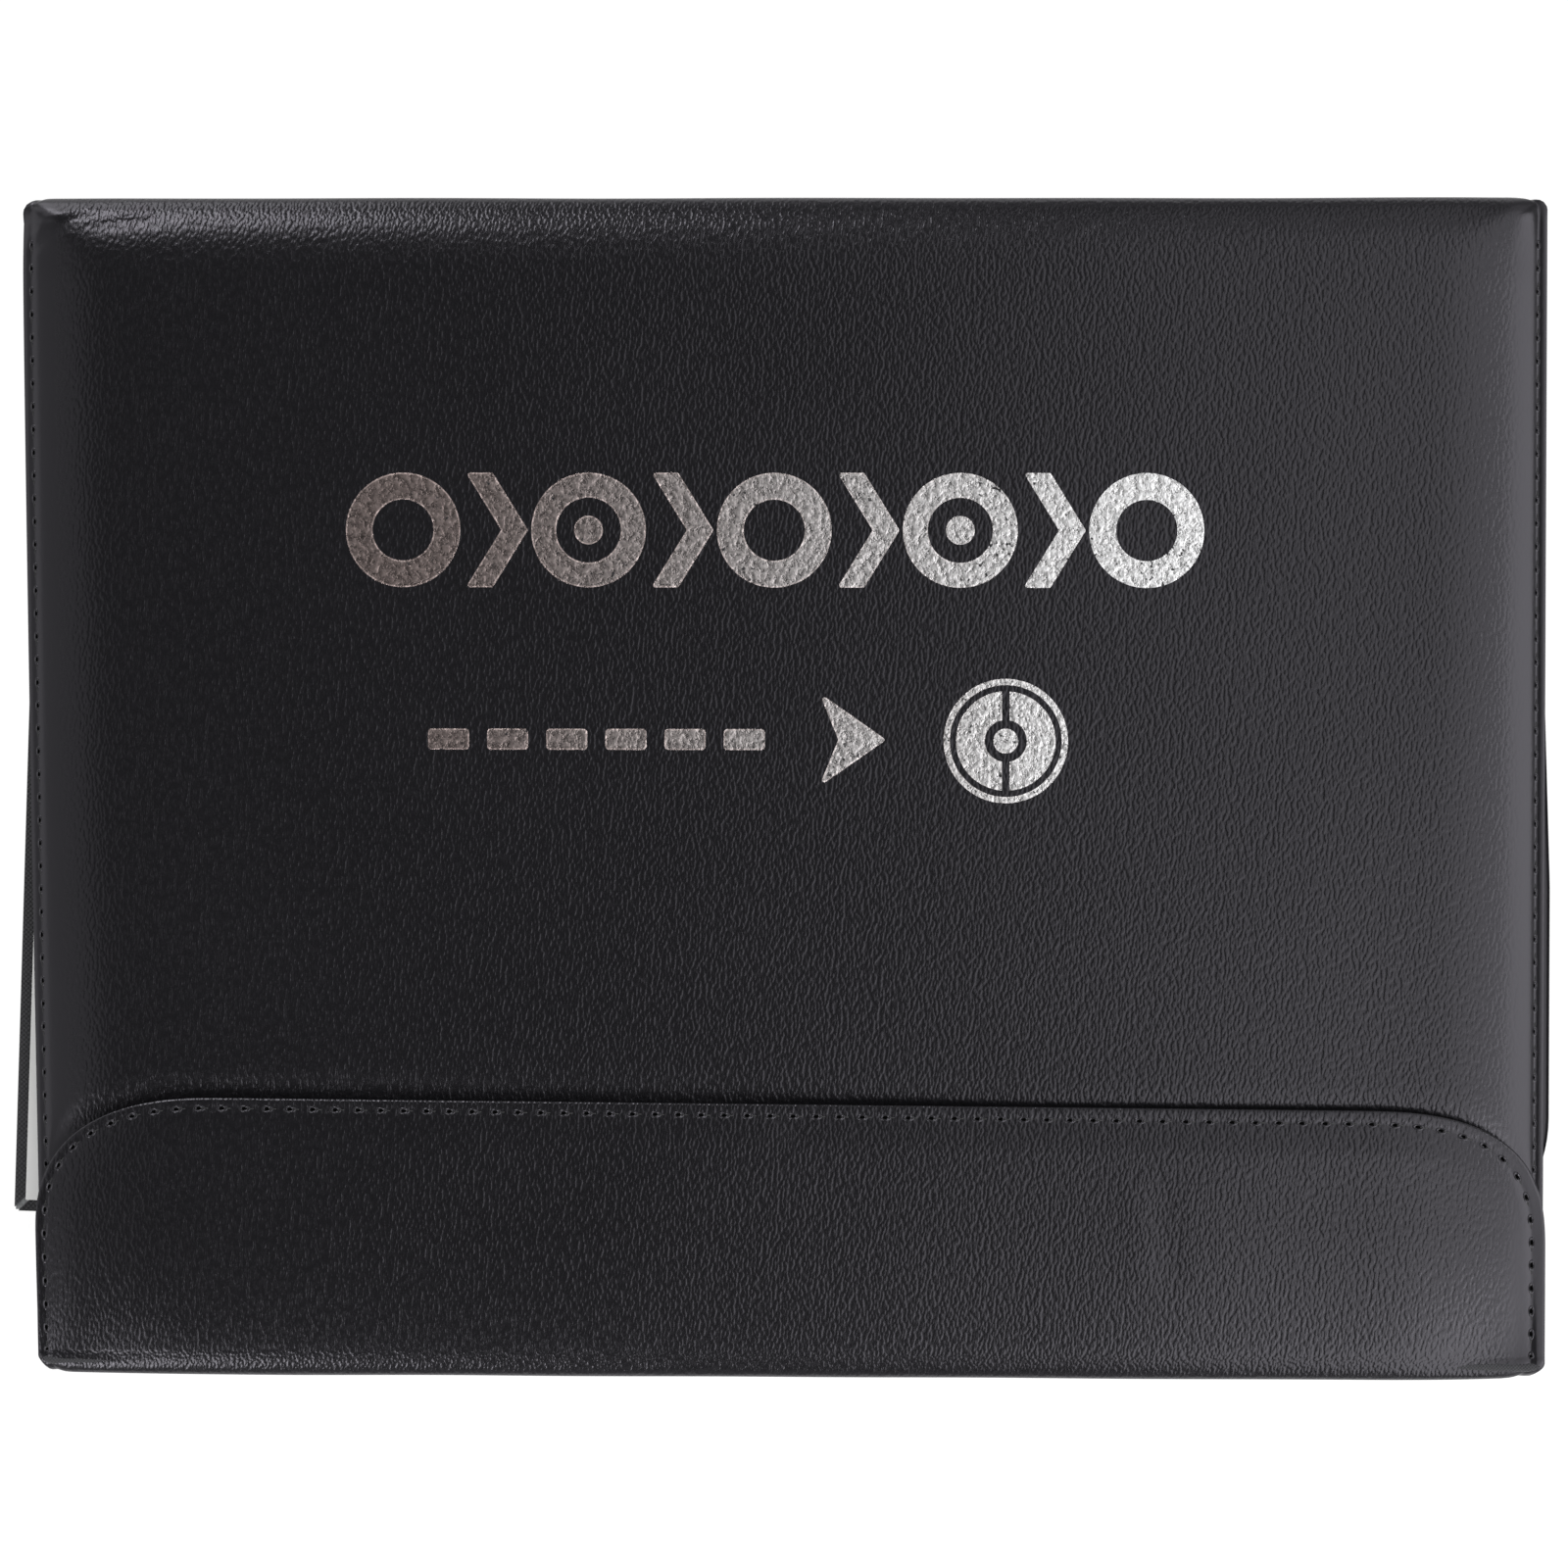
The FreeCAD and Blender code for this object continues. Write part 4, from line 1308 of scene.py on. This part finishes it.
class TACTICS_OT_foil(bpy.types.Operator):
    """Pressed foil design on the cover: a row of rings and chevrons, a dashed arrow and a roundel"""

    bl_idname = "tactics.foil"
    bl_label = "Foil design"

    def execute(self, context):
        style = settings("foil")
        radius, stroke, width, y = style.ring_radius, style.ring_stroke, style.chevron_width, style.row_height
        spacing = 2 * radius + width + 1.9 * MM
        arm = 5.6 * MM
        notch = width - arm
        shapes = []
        for k in range(5):
            x = -1.5 * MM + (k - 2) * spacing
            hole = radius - stroke if k % 2 == 0 else radius - 2 * stroke + 6 * MM
            shapes.append([circle(x, y, radius, 96), circle(x, y, hole)])
            if k % 2:
                shapes.append([circle(x, y, 3.0 * MM, 48)])
            if k < 4:
                back = x + radius + 1.2 * MM
                arrow = [
                    (back, y + radius), (back + arm, y + radius), (back + width, y),
                    (back + arm, y - radius), (back, y - radius), (back + notch, y),
                ]
                shapes.append([rounded(arrow[::-1], 0.5 * MM)])
        self.press("foil_row", shapes)
        shapes = []
        for k in range(6):
            x = (-74 + 12.4 * k) * MM
            shapes.append([rounded(bar(x, 8 * MM, x + 8.6 * MM, 12.4 * MM), 0.8 * MM)])
        tip, middle, half = 22 * MM, 10.2 * MM, 9.8 * MM
        tail = tip - 14 * MM
        head = [(tail, middle + half), (tip, middle), (tail, middle - half), (tip - 10 * MM, middle)]
        shapes.append([rounded(head[::-1], 0.5 * MM)])
        self.press("foil_arrow", shapes)
        self.press("foil_roundel", self.roundel(47 * MM, 10 * MM, 13 * MM))
        return {"FINISHED"}

    def press(self, name, shapes):
        """Lays the shapes on the leather: a rim of brighter foil, a painted highlight along each shape's
        edge, and the crinkled foil inside it.
        """
        style = settings("foil")
        inner = [
            [shrunk(turned_round(outline, k > 0), style.rim) for k, outline in enumerate(outlines)]
            for outlines in shapes
        ]
        sunk, bevel = 0.02 * MM, 0.01 * MM
        low = COVER_TOP - sunk
        # The rim's brighter foil is a painted highlight along each shape's edge
        rim = flat_shapes(name + "_rim", shapes, low, style.lift + sunk, bevel, finish_of("foil_painted_highlight_rim"))
        body = flat_shapes(name, inner, low, style.lift + 2 * sunk, bevel, finish_of("foil"))
        for made in (rim, body):
            placed(made, "front_cover")

    def roundel(self, x, y, radius):
        """A ring round two half discs that leave a centre line, a centre circle and its spot free."""
        ring = [circle(x, y, radius, 96), circle(x, y, radius - 1.3 * MM, 96)]
        shapes = [ring, [circle(x, y, 2.6 * MM, 48)]]
        outer, inner, gap = radius - 2.6 * MM, 4.4 * MM, 0.8 * MM
        for way in (-1, 1):
            far, near = math.acos(gap / outer), math.acos(gap / inner)
            sweep = [(outer * math.cos(t), outer * math.sin(t)) for t in np.linspace(-far, far, 40)]
            sweep += [(inner * math.cos(t), inner * math.sin(t)) for t in np.linspace(near, -near, 24)]
            shapes.append([turned_round([(x + way * px, y + py) for px, py in sweep], False)])
        return shapes


class TACTICS_OT_pitch_board(bpy.types.Operator):
    """Pitch board: cloth binding with mitred corners, mown stripes and white lines"""

    bl_idname = "tactics.pitch_board"
    bl_label = "Pitch board"

    def execute(self, context):
        style = settings("pitch")
        give("pitch_board_core", finish_of("core"))
        give("pitch_steel_sheet", finish_of("steel"))
        give("pitch_face_sheet", finish_of("face"))
        self.binding(style)
        place = Matrix.Translation(BOARD_MIDDLE) @ Matrix.Rotation(BOARD_TURN, 4, "Z")
        half_x, half_y = FIELD_SIZE[0] / 2, FIELD_SIZE[1] / 2
        step = FIELD_SIZE[0] / style.stripes
        sunk = 0.01 * MM
        for parity, finish in ((0, "light_grass"), (1, "dark_grass")):
            shapes = [
                [bar(-half_x + k * step, -half_y, -half_x + (k + 1) * step, half_y)]
                for k in range(parity, style.stripes, 2)
            ]
            field = flat_shapes(
                f"pitch_{finish}", shapes, BOARD_TOP - sunk, 2 * sunk, 0, finish_of(finish), place
            )
            placed(field, "back_panel")
        lines = flat_shapes(
            "pitch_lines", self.lines(style), BOARD_TOP - sunk, 3 * sunk, 0, finish_of("line"), place
        )
        placed(lines, "back_panel")
        return {"FINISHED"}

    def lines(self, style):
        """Outlines of the pitch's lines, about the board's middle."""
        half = style.line_width / 2
        end, touch = FIELD_SIZE[0] / 2 - style.line_inset, FIELD_SIZE[1] / 2 - style.line_inset
        # A pitch of 105 by 68 metres and its usual distances, drawn to the board's own length and width
        metre, wide = 2 * end / 105, 2 * touch / 68

        def framed(x0, y0, x1, y1):
            outer = bar(x0 - half, y0 - half, x1 + half, y1 + half)
            return [outer, bar(x0 + half, y0 + half, x1 - half, y1 - half)]

        def arc(x, y, radius, start, stop):
            sweep = np.linspace(math.radians(start), math.radians(stop), 40)
            reaches = [(radius + half, t) for t in sweep] + [(radius - half, t) for t in sweep[::-1]]
            return [[(x + reach * math.cos(t), y + reach * math.sin(t)) for reach, t in reaches]]

        ring = 9.15 * metre
        shapes = [framed(-end, -touch, end, touch), [bar(-half, -touch, half, touch)]]
        shapes.append([circle(0, 0, ring + half, 96), circle(0, 0, ring - half, 96)])
        shapes.append([circle(0, 0, 1.6 * half * 2, 32)])
        reach = math.degrees(math.acos(5.5 / 9.15))
        for way in (-1, 1):
            for deep, across in ((16.5, 20.16), (5.5, 9.16)):
                near, far = sorted((way * end, way * (end - deep * metre)))
                shapes.append(framed(near, -across * wide, far, across * wide))
            spot = way * (end - 11 * metre)
            shapes.append([circle(spot, 0, 1.3 * MM, 32)])
            facing = 180 if way > 0 else 0
            shapes.append(arc(spot, 0, ring, facing - reach, facing + reach))
            for up in (-1, 1):
                turn = math.degrees(math.atan2(-up, -way)) - 45
                shapes.append(arc(way * end, up * touch, 2.2 * metre, turn, turn + 90))
        return shapes

    def binding(self, style):
        """Four cloth strips folded round the board's edges, mitred with a small gap at the corners."""
        turn_in, gap, thick = style.turn_in, style.mitre_gap, 0.3 * MM
        low, high = BOARD_FLOOR, BOARD_TOP
        soft = 0.25 * MM
        profile = [
            (7 * MM, low), (soft, low), (0.07 * MM, low + 0.07 * MM), (0, low + soft), (0, high - soft),
            (0.07 * MM, high - 0.07 * MM), (soft, high),
            (turn_in - 0.1 * MM, high), (turn_in, high - 0.1 * MM),
            (turn_in, high - thick), (thick, high - thick), (thick, low + thick), (7 * MM, low + thick),
        ]
        corners = [Vector((0, 0)), Vector((BOARD_SIZE[0], 0)), Vector(BOARD_SIZE), Vector((0, BOARD_SIZE[1]))]
        for k, name in enumerate(("lower", "right", "upper", "left")):
            start, end = corners[k], corners[(k + 1) % 4]
            way = (end - start).normalized()
            inward = Vector((-way.y, way.x))
            count = 60
            rings = []
            for i in range(count + 1):
                for offset, z in profile:
                    first, last = offset + gap, (end - start).length - offset - gap
                    spot = start + way * (first + (last - first) * i / count) + inward * offset
                    rings.append(BOARD_PLACE @ Vector((spot.x, spot.y, z)))
            size = len(profile)
            index = np.arange((count + 1) * size).reshape(count + 1, size)
            vertices = np.array([tuple(p) for p in rings])
            walls = outward(vertices, ring_walls(index))
            caps = [index[0].tolist(), index[-1].tolist()]
            if (walls[0] == index[[0, 0, 1, 1], [0, 1, 1, 0]]).all():
                caps = [caps[0][::-1], caps[1]]
            else:
                caps = [caps[0], caps[1][::-1]]
            strip = [(0, (vertices, walls.tolist() + caps))]
            made = list_piece(f"binding_{name}", strip, [finish_of("binding")])
            placed(made, "back_panel", () if k else ("pitch_board_binding",))


class TACTICS_OT_counters(bpy.types.Operator):
    """Magnetic counters with numbers, and the ball"""

    bl_idname = "tactics.counters"
    bl_label = "Counters"

    def execute(self, context):
        for side in ("home", "away"):
            for k in range(1, 12):
                self.counter(f"{side}_counter_{k:02d}", f"player_{side}_{k:02d}", side, str(k))
        self.ball()
        return {"FINISHED"}

    def counter(self, node_name, body, side, number):
        """A disc with a groove round it and a dish on top, with its raised number."""
        low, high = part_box(node_name)
        middle = (low + high) / 2
        radius, height = (high.x - low.x) / 2, high.z - low.z
        dish = radius - 1.7 * MM
        profile = [
            (0.3 * MM, 0), (radius - 0.5 * MM, 0), (radius - 0.15 * MM, 0.15 * MM), (radius, 0.5 * MM),
            (radius, height * 0.40), (radius - 0.25 * MM, height * 0.44), (radius - 0.25 * MM, height * 0.50),
            (radius, height * 0.54), (radius, height - 0.8 * MM), (radius - 0.25 * MM, height - 0.25 * MM),
            (radius - 0.8 * MM, height), (dish + 0.3 * MM, height), (dish, height - 0.12 * MM),
            (dish - 0.15 * MM, height - 0.4 * MM), (0.3 * MM, height - 0.4 * MM),
        ]
        disc = [(0, lathe(profile, 48, (middle.x, middle.y, low.z)))]
        made = list_piece(node_name + "_disc", disc, [finish_of(side)], 50)
        placed(made, body, (node_name,))
        text = bpy.data.curves.new("number", "FONT")
        text.body = number
        text.size = 8.4 * MM if len(number) == 1 else 7.2 * MM
        text.align_x, text.align_y = "CENTER", "CENTER"
        text.extrude = 0.11 * MM
        text.offset = 0.12 * MM
        text.resolution_u = 4
        mesh = mesh_of(text)
        spot = Matrix.Translation((middle.x, middle.y, high.z - 0.35 * MM))
        mesh.transform(spot @ Matrix.Rotation(BOARD_TURN, 4, "Z"))
        figure = dressed(node_name + "_number", mesh, [finish_of("line")])
        placed(figure, body)

    def ball(self):
        """A low domed disc with a ring of five-sided patches round a larger one."""
        low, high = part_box("ball_counter")
        middle = (low + high) / 2
        radius, height = (high.x - low.x) / 2, high.z - low.z
        shoulder, rise = height * 0.55, height * 0.43
        dome = [
            (radius * math.cos(t), shoulder + rise * math.sin(t))
            for t in np.linspace(0, math.radians(87), 10)
        ]
        profile = [(0.3 * MM, 0), (radius - 0.4 * MM, 0), (radius, 0.4 * MM)] + dome
        disc = [(0, lathe(profile, 48, (middle.x, middle.y, low.z)))]
        made = list_piece("ball_disc", disc, [finish_of("ball")], 50)
        placed(made, "player_ball", ("ball_counter",))
        turn = np.linspace(0, 2 * math.pi, 6)[:-1] + math.pi / 2
        rings = [[0, 4, 3, 2, 1], [5, 6, 7, 8, 9]]
        rings += [[i, (i + 1) % 5, 5 + (i + 1) % 5, 5 + i] for i in range(5)]
        patches = []
        for k in range(6):
            away, size = (3.4 * MM, 0.85 * MM) if k else (0, 1.25 * MM)
            way = math.pi / 2 + math.radians(72) * k
            share = min(away / radius, 1)
            steep = math.atan(0.42 * share / math.sqrt(1 - share**2))
            z = low.z + shoulder + rise * math.sqrt(1 - share**2)
            spot = (middle.x + away * math.cos(way), middle.y + away * math.sin(way), z - 0.02 * MM)
            lean = Matrix.Translation(spot) @ Matrix.Rotation(way, 4, "Z") @ Matrix.Rotation(steep, 4, "Y")
            points = [
                tuple(lean @ Vector((size * math.cos(t), size * math.sin(t), h)))
                for h in (-0.15 * MM, 0.06 * MM) for t in turn
            ]
            patches.append((0, (np.array(points), rings)))
        spots = list_piece("ball_patches", patches, [finish_of("ink")])
        placed(spots, "player_ball")


class TACTICS_OT_marker(bpy.types.Operator):
    """Marker finishes, barrel band, cap ribs and the two elastic loops"""

    bl_idname = "tactics.marker"
    bl_label = "Marker and loops"

    def execute(self, context):
        finishes = {
            "marker_barrel": "barrel", "marker_ink_core": "felt", "marker_nib": "felt",
            "marker_plug": "cap", "marker_cap": "cap", "cap_eraser": "felt",
        }
        for name, finish in finishes.items():
            give(name, finish_of(finish))
        self.band()
        self.ribs()
        for side in ("left", "right"):
            self.loop(f"marker_loop_{side}", f"elastic_loop_{side}")
        return {"FINISHED"}

    def band(self):
        """The coloured band round the barrel."""
        length, edge = 22 * MM, 0.2 * MM
        inside, rim, outside = MARKER_RADIUS - 0.1 * MM, MARKER_RADIUS + 0.03 * MM, MARKER_RADIUS + 0.05 * MM
        profile = [
            (inside, 0), (rim, 0), (outside, edge), (outside, length - edge), (rim, length), (inside, length),
        ]
        vertices, faces = lathe(profile, 64, (0, 0, 0))
        lay = Matrix.Translation((14 * MM, MARKER_Y, MARKER_Z)) @ Matrix.Rotation(math.radians(90), 4, "Y")
        points = np.array([tuple(lay @ Vector(p)) for p in vertices])
        sleeve = list_piece("marker_band", [(0, (points, faces[:-2]))], [finish_of("away")], 60)
        placed(sleeve, "marker")

    def ribs(self):
        """Grip ribs round the cap, apart from the strip under its clip."""
        count, clip_side = 28, 0.90
        xs = np.array((-30, -29.4, -24.5, -19.6, -19.0)) * MM
        lift = np.array((4.30, 4.42, 4.46, 4.42, 4.30)) * MM
        lines, normals = [], []
        for k in range(count):
            turn = 2 * math.pi * k / count
            way = np.array((0, math.cos(turn), math.sin(turn)))
            if way[1] > clip_side:
                continue
            lines.append(np.stack([xs, MARKER_Y + way[1] * lift, MARKER_Z + way[2] * lift], -1))
            normals.append(np.repeat(way[None, :], len(xs), 0))
        grips = tubes(np.array(lines), np.array(normals), 0.16 * MM, 8)
        placed(list_piece("cap_ribs", [(0, grips)], [finish_of("cap")], 60), "marker_cap")

    def loop(self, node_name, name):
        """A ribbed elastic band round the marker, with its two sewn-down tabs."""
        low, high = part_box(node_name)
        across = np.linspace(low.x, high.x, 43)
        ribs = 0.05 * MM * np.cos((across - low.x) / (1.0 * MM) * 2 * math.pi)
        inner, outer = 4.62 * MM, 5.12 * MM
        bend = math.radians(38)
        sweep = np.linspace(-bend, math.pi + bend, 56)
        tab_z = low.z + 0.32 * MM
        mid = (inner + outer) / 2
        arch = np.stack([MARKER_Y + mid * np.cos(sweep), MARKER_Z + mid * np.sin(sweep)], -1)
        right = np.array([
            (high.y, tab_z), (high.y - 1.2 * MM, tab_z), (MARKER_Y + 6.6 * MM, tab_z),
            (MARKER_Y + 5.2 * MM, tab_z + 0.25 * MM), (MARKER_Y + 4.3 * MM, tab_z + 0.95 * MM),
        ])
        left = right.copy()
        left[:, 0] = 2 * MARKER_Y - right[:, 0]
        line = np.concatenate([right, arch, left[::-1]])
        way = np.gradient(line, axis=0)
        way /= np.linalg.norm(way, axis=1, keepdims=True)
        out = np.stack([way[:, 1], -way[:, 0]], -1)
        half = (outer - inner) / 2
        over = line[:, None, :] + out[:, None, :] * (half - 0.06 * MM + ribs)[None, :, None]
        under = line[:, None, :] - out[:, None, :] * (half - 0.02 * MM + 0 * ribs)[None, :, None]
        x = across[None, :] + 0 * over[:, :, 0]
        vertices, faces = closed_sheet(
            np.concatenate([x[:, :, None], over], 2), np.concatenate([x[:, :, None], under], 2)
        )
        made = piece(name, vertices, faces, [finish_of("elastic")])
        placed(made, "back_panel", (node_name,))
        rows = []
        for y in (high.y - 1.3 * MM, low.y + 1.3 * MM):
            for x0 in np.arange(low.x + 1.0 * MM, high.x - 2.2 * MM, 2.4 * MM):
                xs = x0 + np.array((0, 0.3, 0.9, 1.5, 1.8)) * MM
                zs = tab_z + half + np.array((-0.2, 0.08, 0.14, 0.08, -0.2)) * MM
                rows.append(np.stack([xs, 0 * xs + y, zs], -1))
        up = np.tile(np.array((0, 0, 1.0)), (len(rows), 5, 1))
        stitches = tubes(np.array(rows), up, 0.17 * MM)
        thread = list_piece(f"{name}_stitching", [(0, stitches)], [finish_of("thread")])
        placed(thread, "back_panel")


class TACTICS_OT_boards(bpy.types.Operator):
    """Finishes of the stiffening boards, magnets and catch plates inside the wrap"""

    bl_idname = "tactics.boards"
    bl_label = "Boards and magnets"

    def execute(self, context):
        for name in ("back", "top_spine", "bottom_spine", "cover"):
            give(f"{name}_stiffener", finish_of("board"))
        give("cover_catch_plates", finish_of("steel"))
        give("flap_magnets", finish_of("magnet"))
        return {"FINISHED"}


# Each lamp's name, its radiance setting, its place, its size and what it faces, in metres
LAMPS = (
    ("ceiling_panel", "ceiling", (0.35, 0.45, 1.6), (0.40, 1.30), (0.35, 0.45, 0)),
    ("ceiling_wing", "wing", (0.88, 0.45, 1.6), (0.66, 1.30), (0.88, 0.45, 0)),
    ("near_wing", "near", (0.69, -0.60, 1.6), (1.04, 0.80), (0.69, -0.60, 0)),
    ("front_panel", "panel", (0.72, -0.98, 0.80), (1.0, 1.1), (0.1, -0.1, 0)),
    ("rear_panel", "rear", (0.60, 1.0, 0.85), (0.9, 0.8), (0.1, 0.1, 0)),
    ("side_softbox", "side", (1.25, -0.1, 0.95), (1.2, 0.7), (0, 0, 0)),
    ("corner_softbox", "corner", (-0.48, 1.05, 0.88), (0.28, 0.6), (-0.1, 0.12, 0)),
    ("back_softbox", "back", (-0.50, 1.25, 0.30), (0.5, 0.5), (-0.1, 0.1, 0)),
    ("front_softbox", "front", (-0.75, -0.70, 0.95), (0.35, 0.35), (-0.1, -0.1, 0)),
    ("low_softbox", "low", (-0.52, -1.05, 0.72), (0.28, 0.36), (-0.1, -0.1, 0)),
    ("far_left_softbox", "far", (-0.97, 0.81, 0.73), (0.5, 0.5), (-0.16, 0.11, 0)),
    ("left_panel", "left", (-1.0, -0.1, 0.95), (1.0, 1.0), (-0.15, 0, 0)),
    ("ground_panel", "ground", (-1.30, -0.1, 0.40), (2.2, 0.70), (-0.15, -0.05, 0)),
)


class TACTICS_OT_studio(bpy.types.Operator):
    """White floor, soft lights and the camera over the folder"""

    bl_idname = "tactics.studio"
    bl_label = "Studio"

    def execute(self, context):
        style = settings("studio")
        scene = context.scene
        camera = bpy.data.cameras.new("camera_over_folder")
        camera.lens = style.lens
        camera.sensor_width = 36
        camera.clip_start = 0.01
        holder = bpy.data.objects.new("camera_over_folder", camera)
        holder.location = style.camera_place
        holder.rotation_euler = style.camera_turn
        scene.collection.objects.link(holder)
        scene.camera = holder
        scene.view_settings.view_transform = "Standard"
        self.floor()
        for name, level, place, size, aim in LAMPS:
            self.lamp(name, place, size, getattr(style, level), aim)
        self.world(scene)
        return {"FINISHED"}

    def lamp(self, name, place, size, radiance, aim):
        """A softbox that the camera doesn't see."""
        light = bpy.data.lights.new(name, "AREA")
        light.shape = "RECTANGLE"
        light.size, light.size_y = size
        light.energy = radiance * math.pi * size[0] * size[1]
        holder = bpy.data.objects.new(name, light)
        holder.location = place
        way = Vector(aim) - Vector(place)
        holder.rotation_euler = way.to_track_quat("-Z", "Y").to_euler()
        holder.visible_camera = False
        bpy.context.scene.collection.objects.link(holder)

    def floor(self):
        """A wide white floor that shows as white and keeps the folder's shadow."""
        material = bpy.data.materials.new("white_floor")
        material.use_nodes = True
        tree = material.node_tree
        tree.nodes.clear()
        output = node(tree, "ShaderNodeOutputMaterial")
        rays = node(tree, "ShaderNodeLightPath").outputs
        seen = maths(
            tree, "ADD", maths(tree, "ADD", rays["Is Camera Ray"], rays["Is Glossy Ray"]),
            rays["Is Transmission Ray"], clamp=True,
        )
        paint = node(tree, "ShaderNodeBsdfDiffuse", {"Color": (0.8, 0.8, 0.8, 1)})
        shadow = node(tree, "ShaderNodeBsdfDiffuse", {"Color": (0.16, 0.16, 0.16, 1)})
        glow = node(tree, "ShaderNodeEmission", {"Color": (1, 1, 1, 1), "Strength": 0.93})
        lit = node(tree, "ShaderNodeAddShader", {0: shadow.outputs[0], 1: glow.outputs[0]})
        both = node(tree, "ShaderNodeMixShader", {0: seen, 1: paint.outputs[0], 2: lit.outputs[0]})
        tree.links.new(both.outputs[0], output.inputs[0])
        reach, level = 6.0, -0.05 * MM
        corners = [(x, y, level) for x, y in bar(-reach, -reach, reach, reach)]
        mesh = bpy.data.meshes.new("white_floor")
        mesh.from_pydata(corners, [], [(0, 1, 2, 3)])
        mesh.materials.append(material)
        made = bpy.data.objects.new("white_floor", mesh)
        bpy.context.scene.collection.objects.link(made)

    def world(self, scene):
        """Bright walls low down and a dim ceiling."""
        world = bpy.data.worlds.new("studio_walls")
        scene.world = world
        world.use_nodes = True
        tree = world.node_tree
        tree.nodes.clear()
        output = node(tree, "ShaderNodeOutputWorld")
        way = node(tree, "ShaderNodeTexCoord").outputs["Generated"]
        height = node(tree, "ShaderNodeSeparateXYZ", {0: way}).outputs[2]
        wall = ramp(tree, height, 0.22, 0.62, 0.36, 0.035)
        background = node(tree, "ShaderNodeBackground", {"Color": (1, 1, 1, 1), "Strength": wall})
        tree.links.new(background.outputs[0], output.inputs[0])


class TACTICS_PT_sidebar(bpy.types.Panel):
    """Lists the steps that build the tactics board"""

    bl_idname = "TACTICS_PT_sidebar"
    bl_label = "Tactics board"
    bl_space_type = "VIEW_3D"
    bl_region_type = "UI"
    bl_category = "Tactics board"

    def draw(self, context):
        for step in STEPS:
            self.layout.operator(step.bl_idname)


GROUPS = {
    "leather": LeatherSettings,
    "foil": FoilSettings,
    "pitch": PitchSettings,
    "play": PlaySettings,
    "studio": StudioSettings,
}
STEPS = (
    TACTICS_OT_studio,
    TACTICS_OT_cover_leather,
    TACTICS_OT_flap_leather,
    TACTICS_OT_back_leather,
    TACTICS_OT_linings,
    TACTICS_OT_foil,
    TACTICS_OT_pitch_board,
    TACTICS_OT_counters,
    TACTICS_OT_marker,
    TACTICS_OT_boards,
)
CLASSES = (*GROUPS.values(), *STEPS, TACTICS_PT_sidebar)


def register():
    for made in CLASSES:
        bpy.utils.register_class(made)
    for name, group in GROUPS.items():
        setattr(bpy.types.Scene, "tactics_" + name, PointerProperty(type=group))


def unregister():
    for name in GROUPS:
        delattr(bpy.types.Scene, "tactics_" + name)
    for made in reversed(CLASSES):
        bpy.utils.unregister_class(made)


def main():
    register()
    for step in STEPS:
        getattr(bpy.ops.tactics, step.bl_idname.split(".")[1])()


if __name__ == "__main__":
    main()
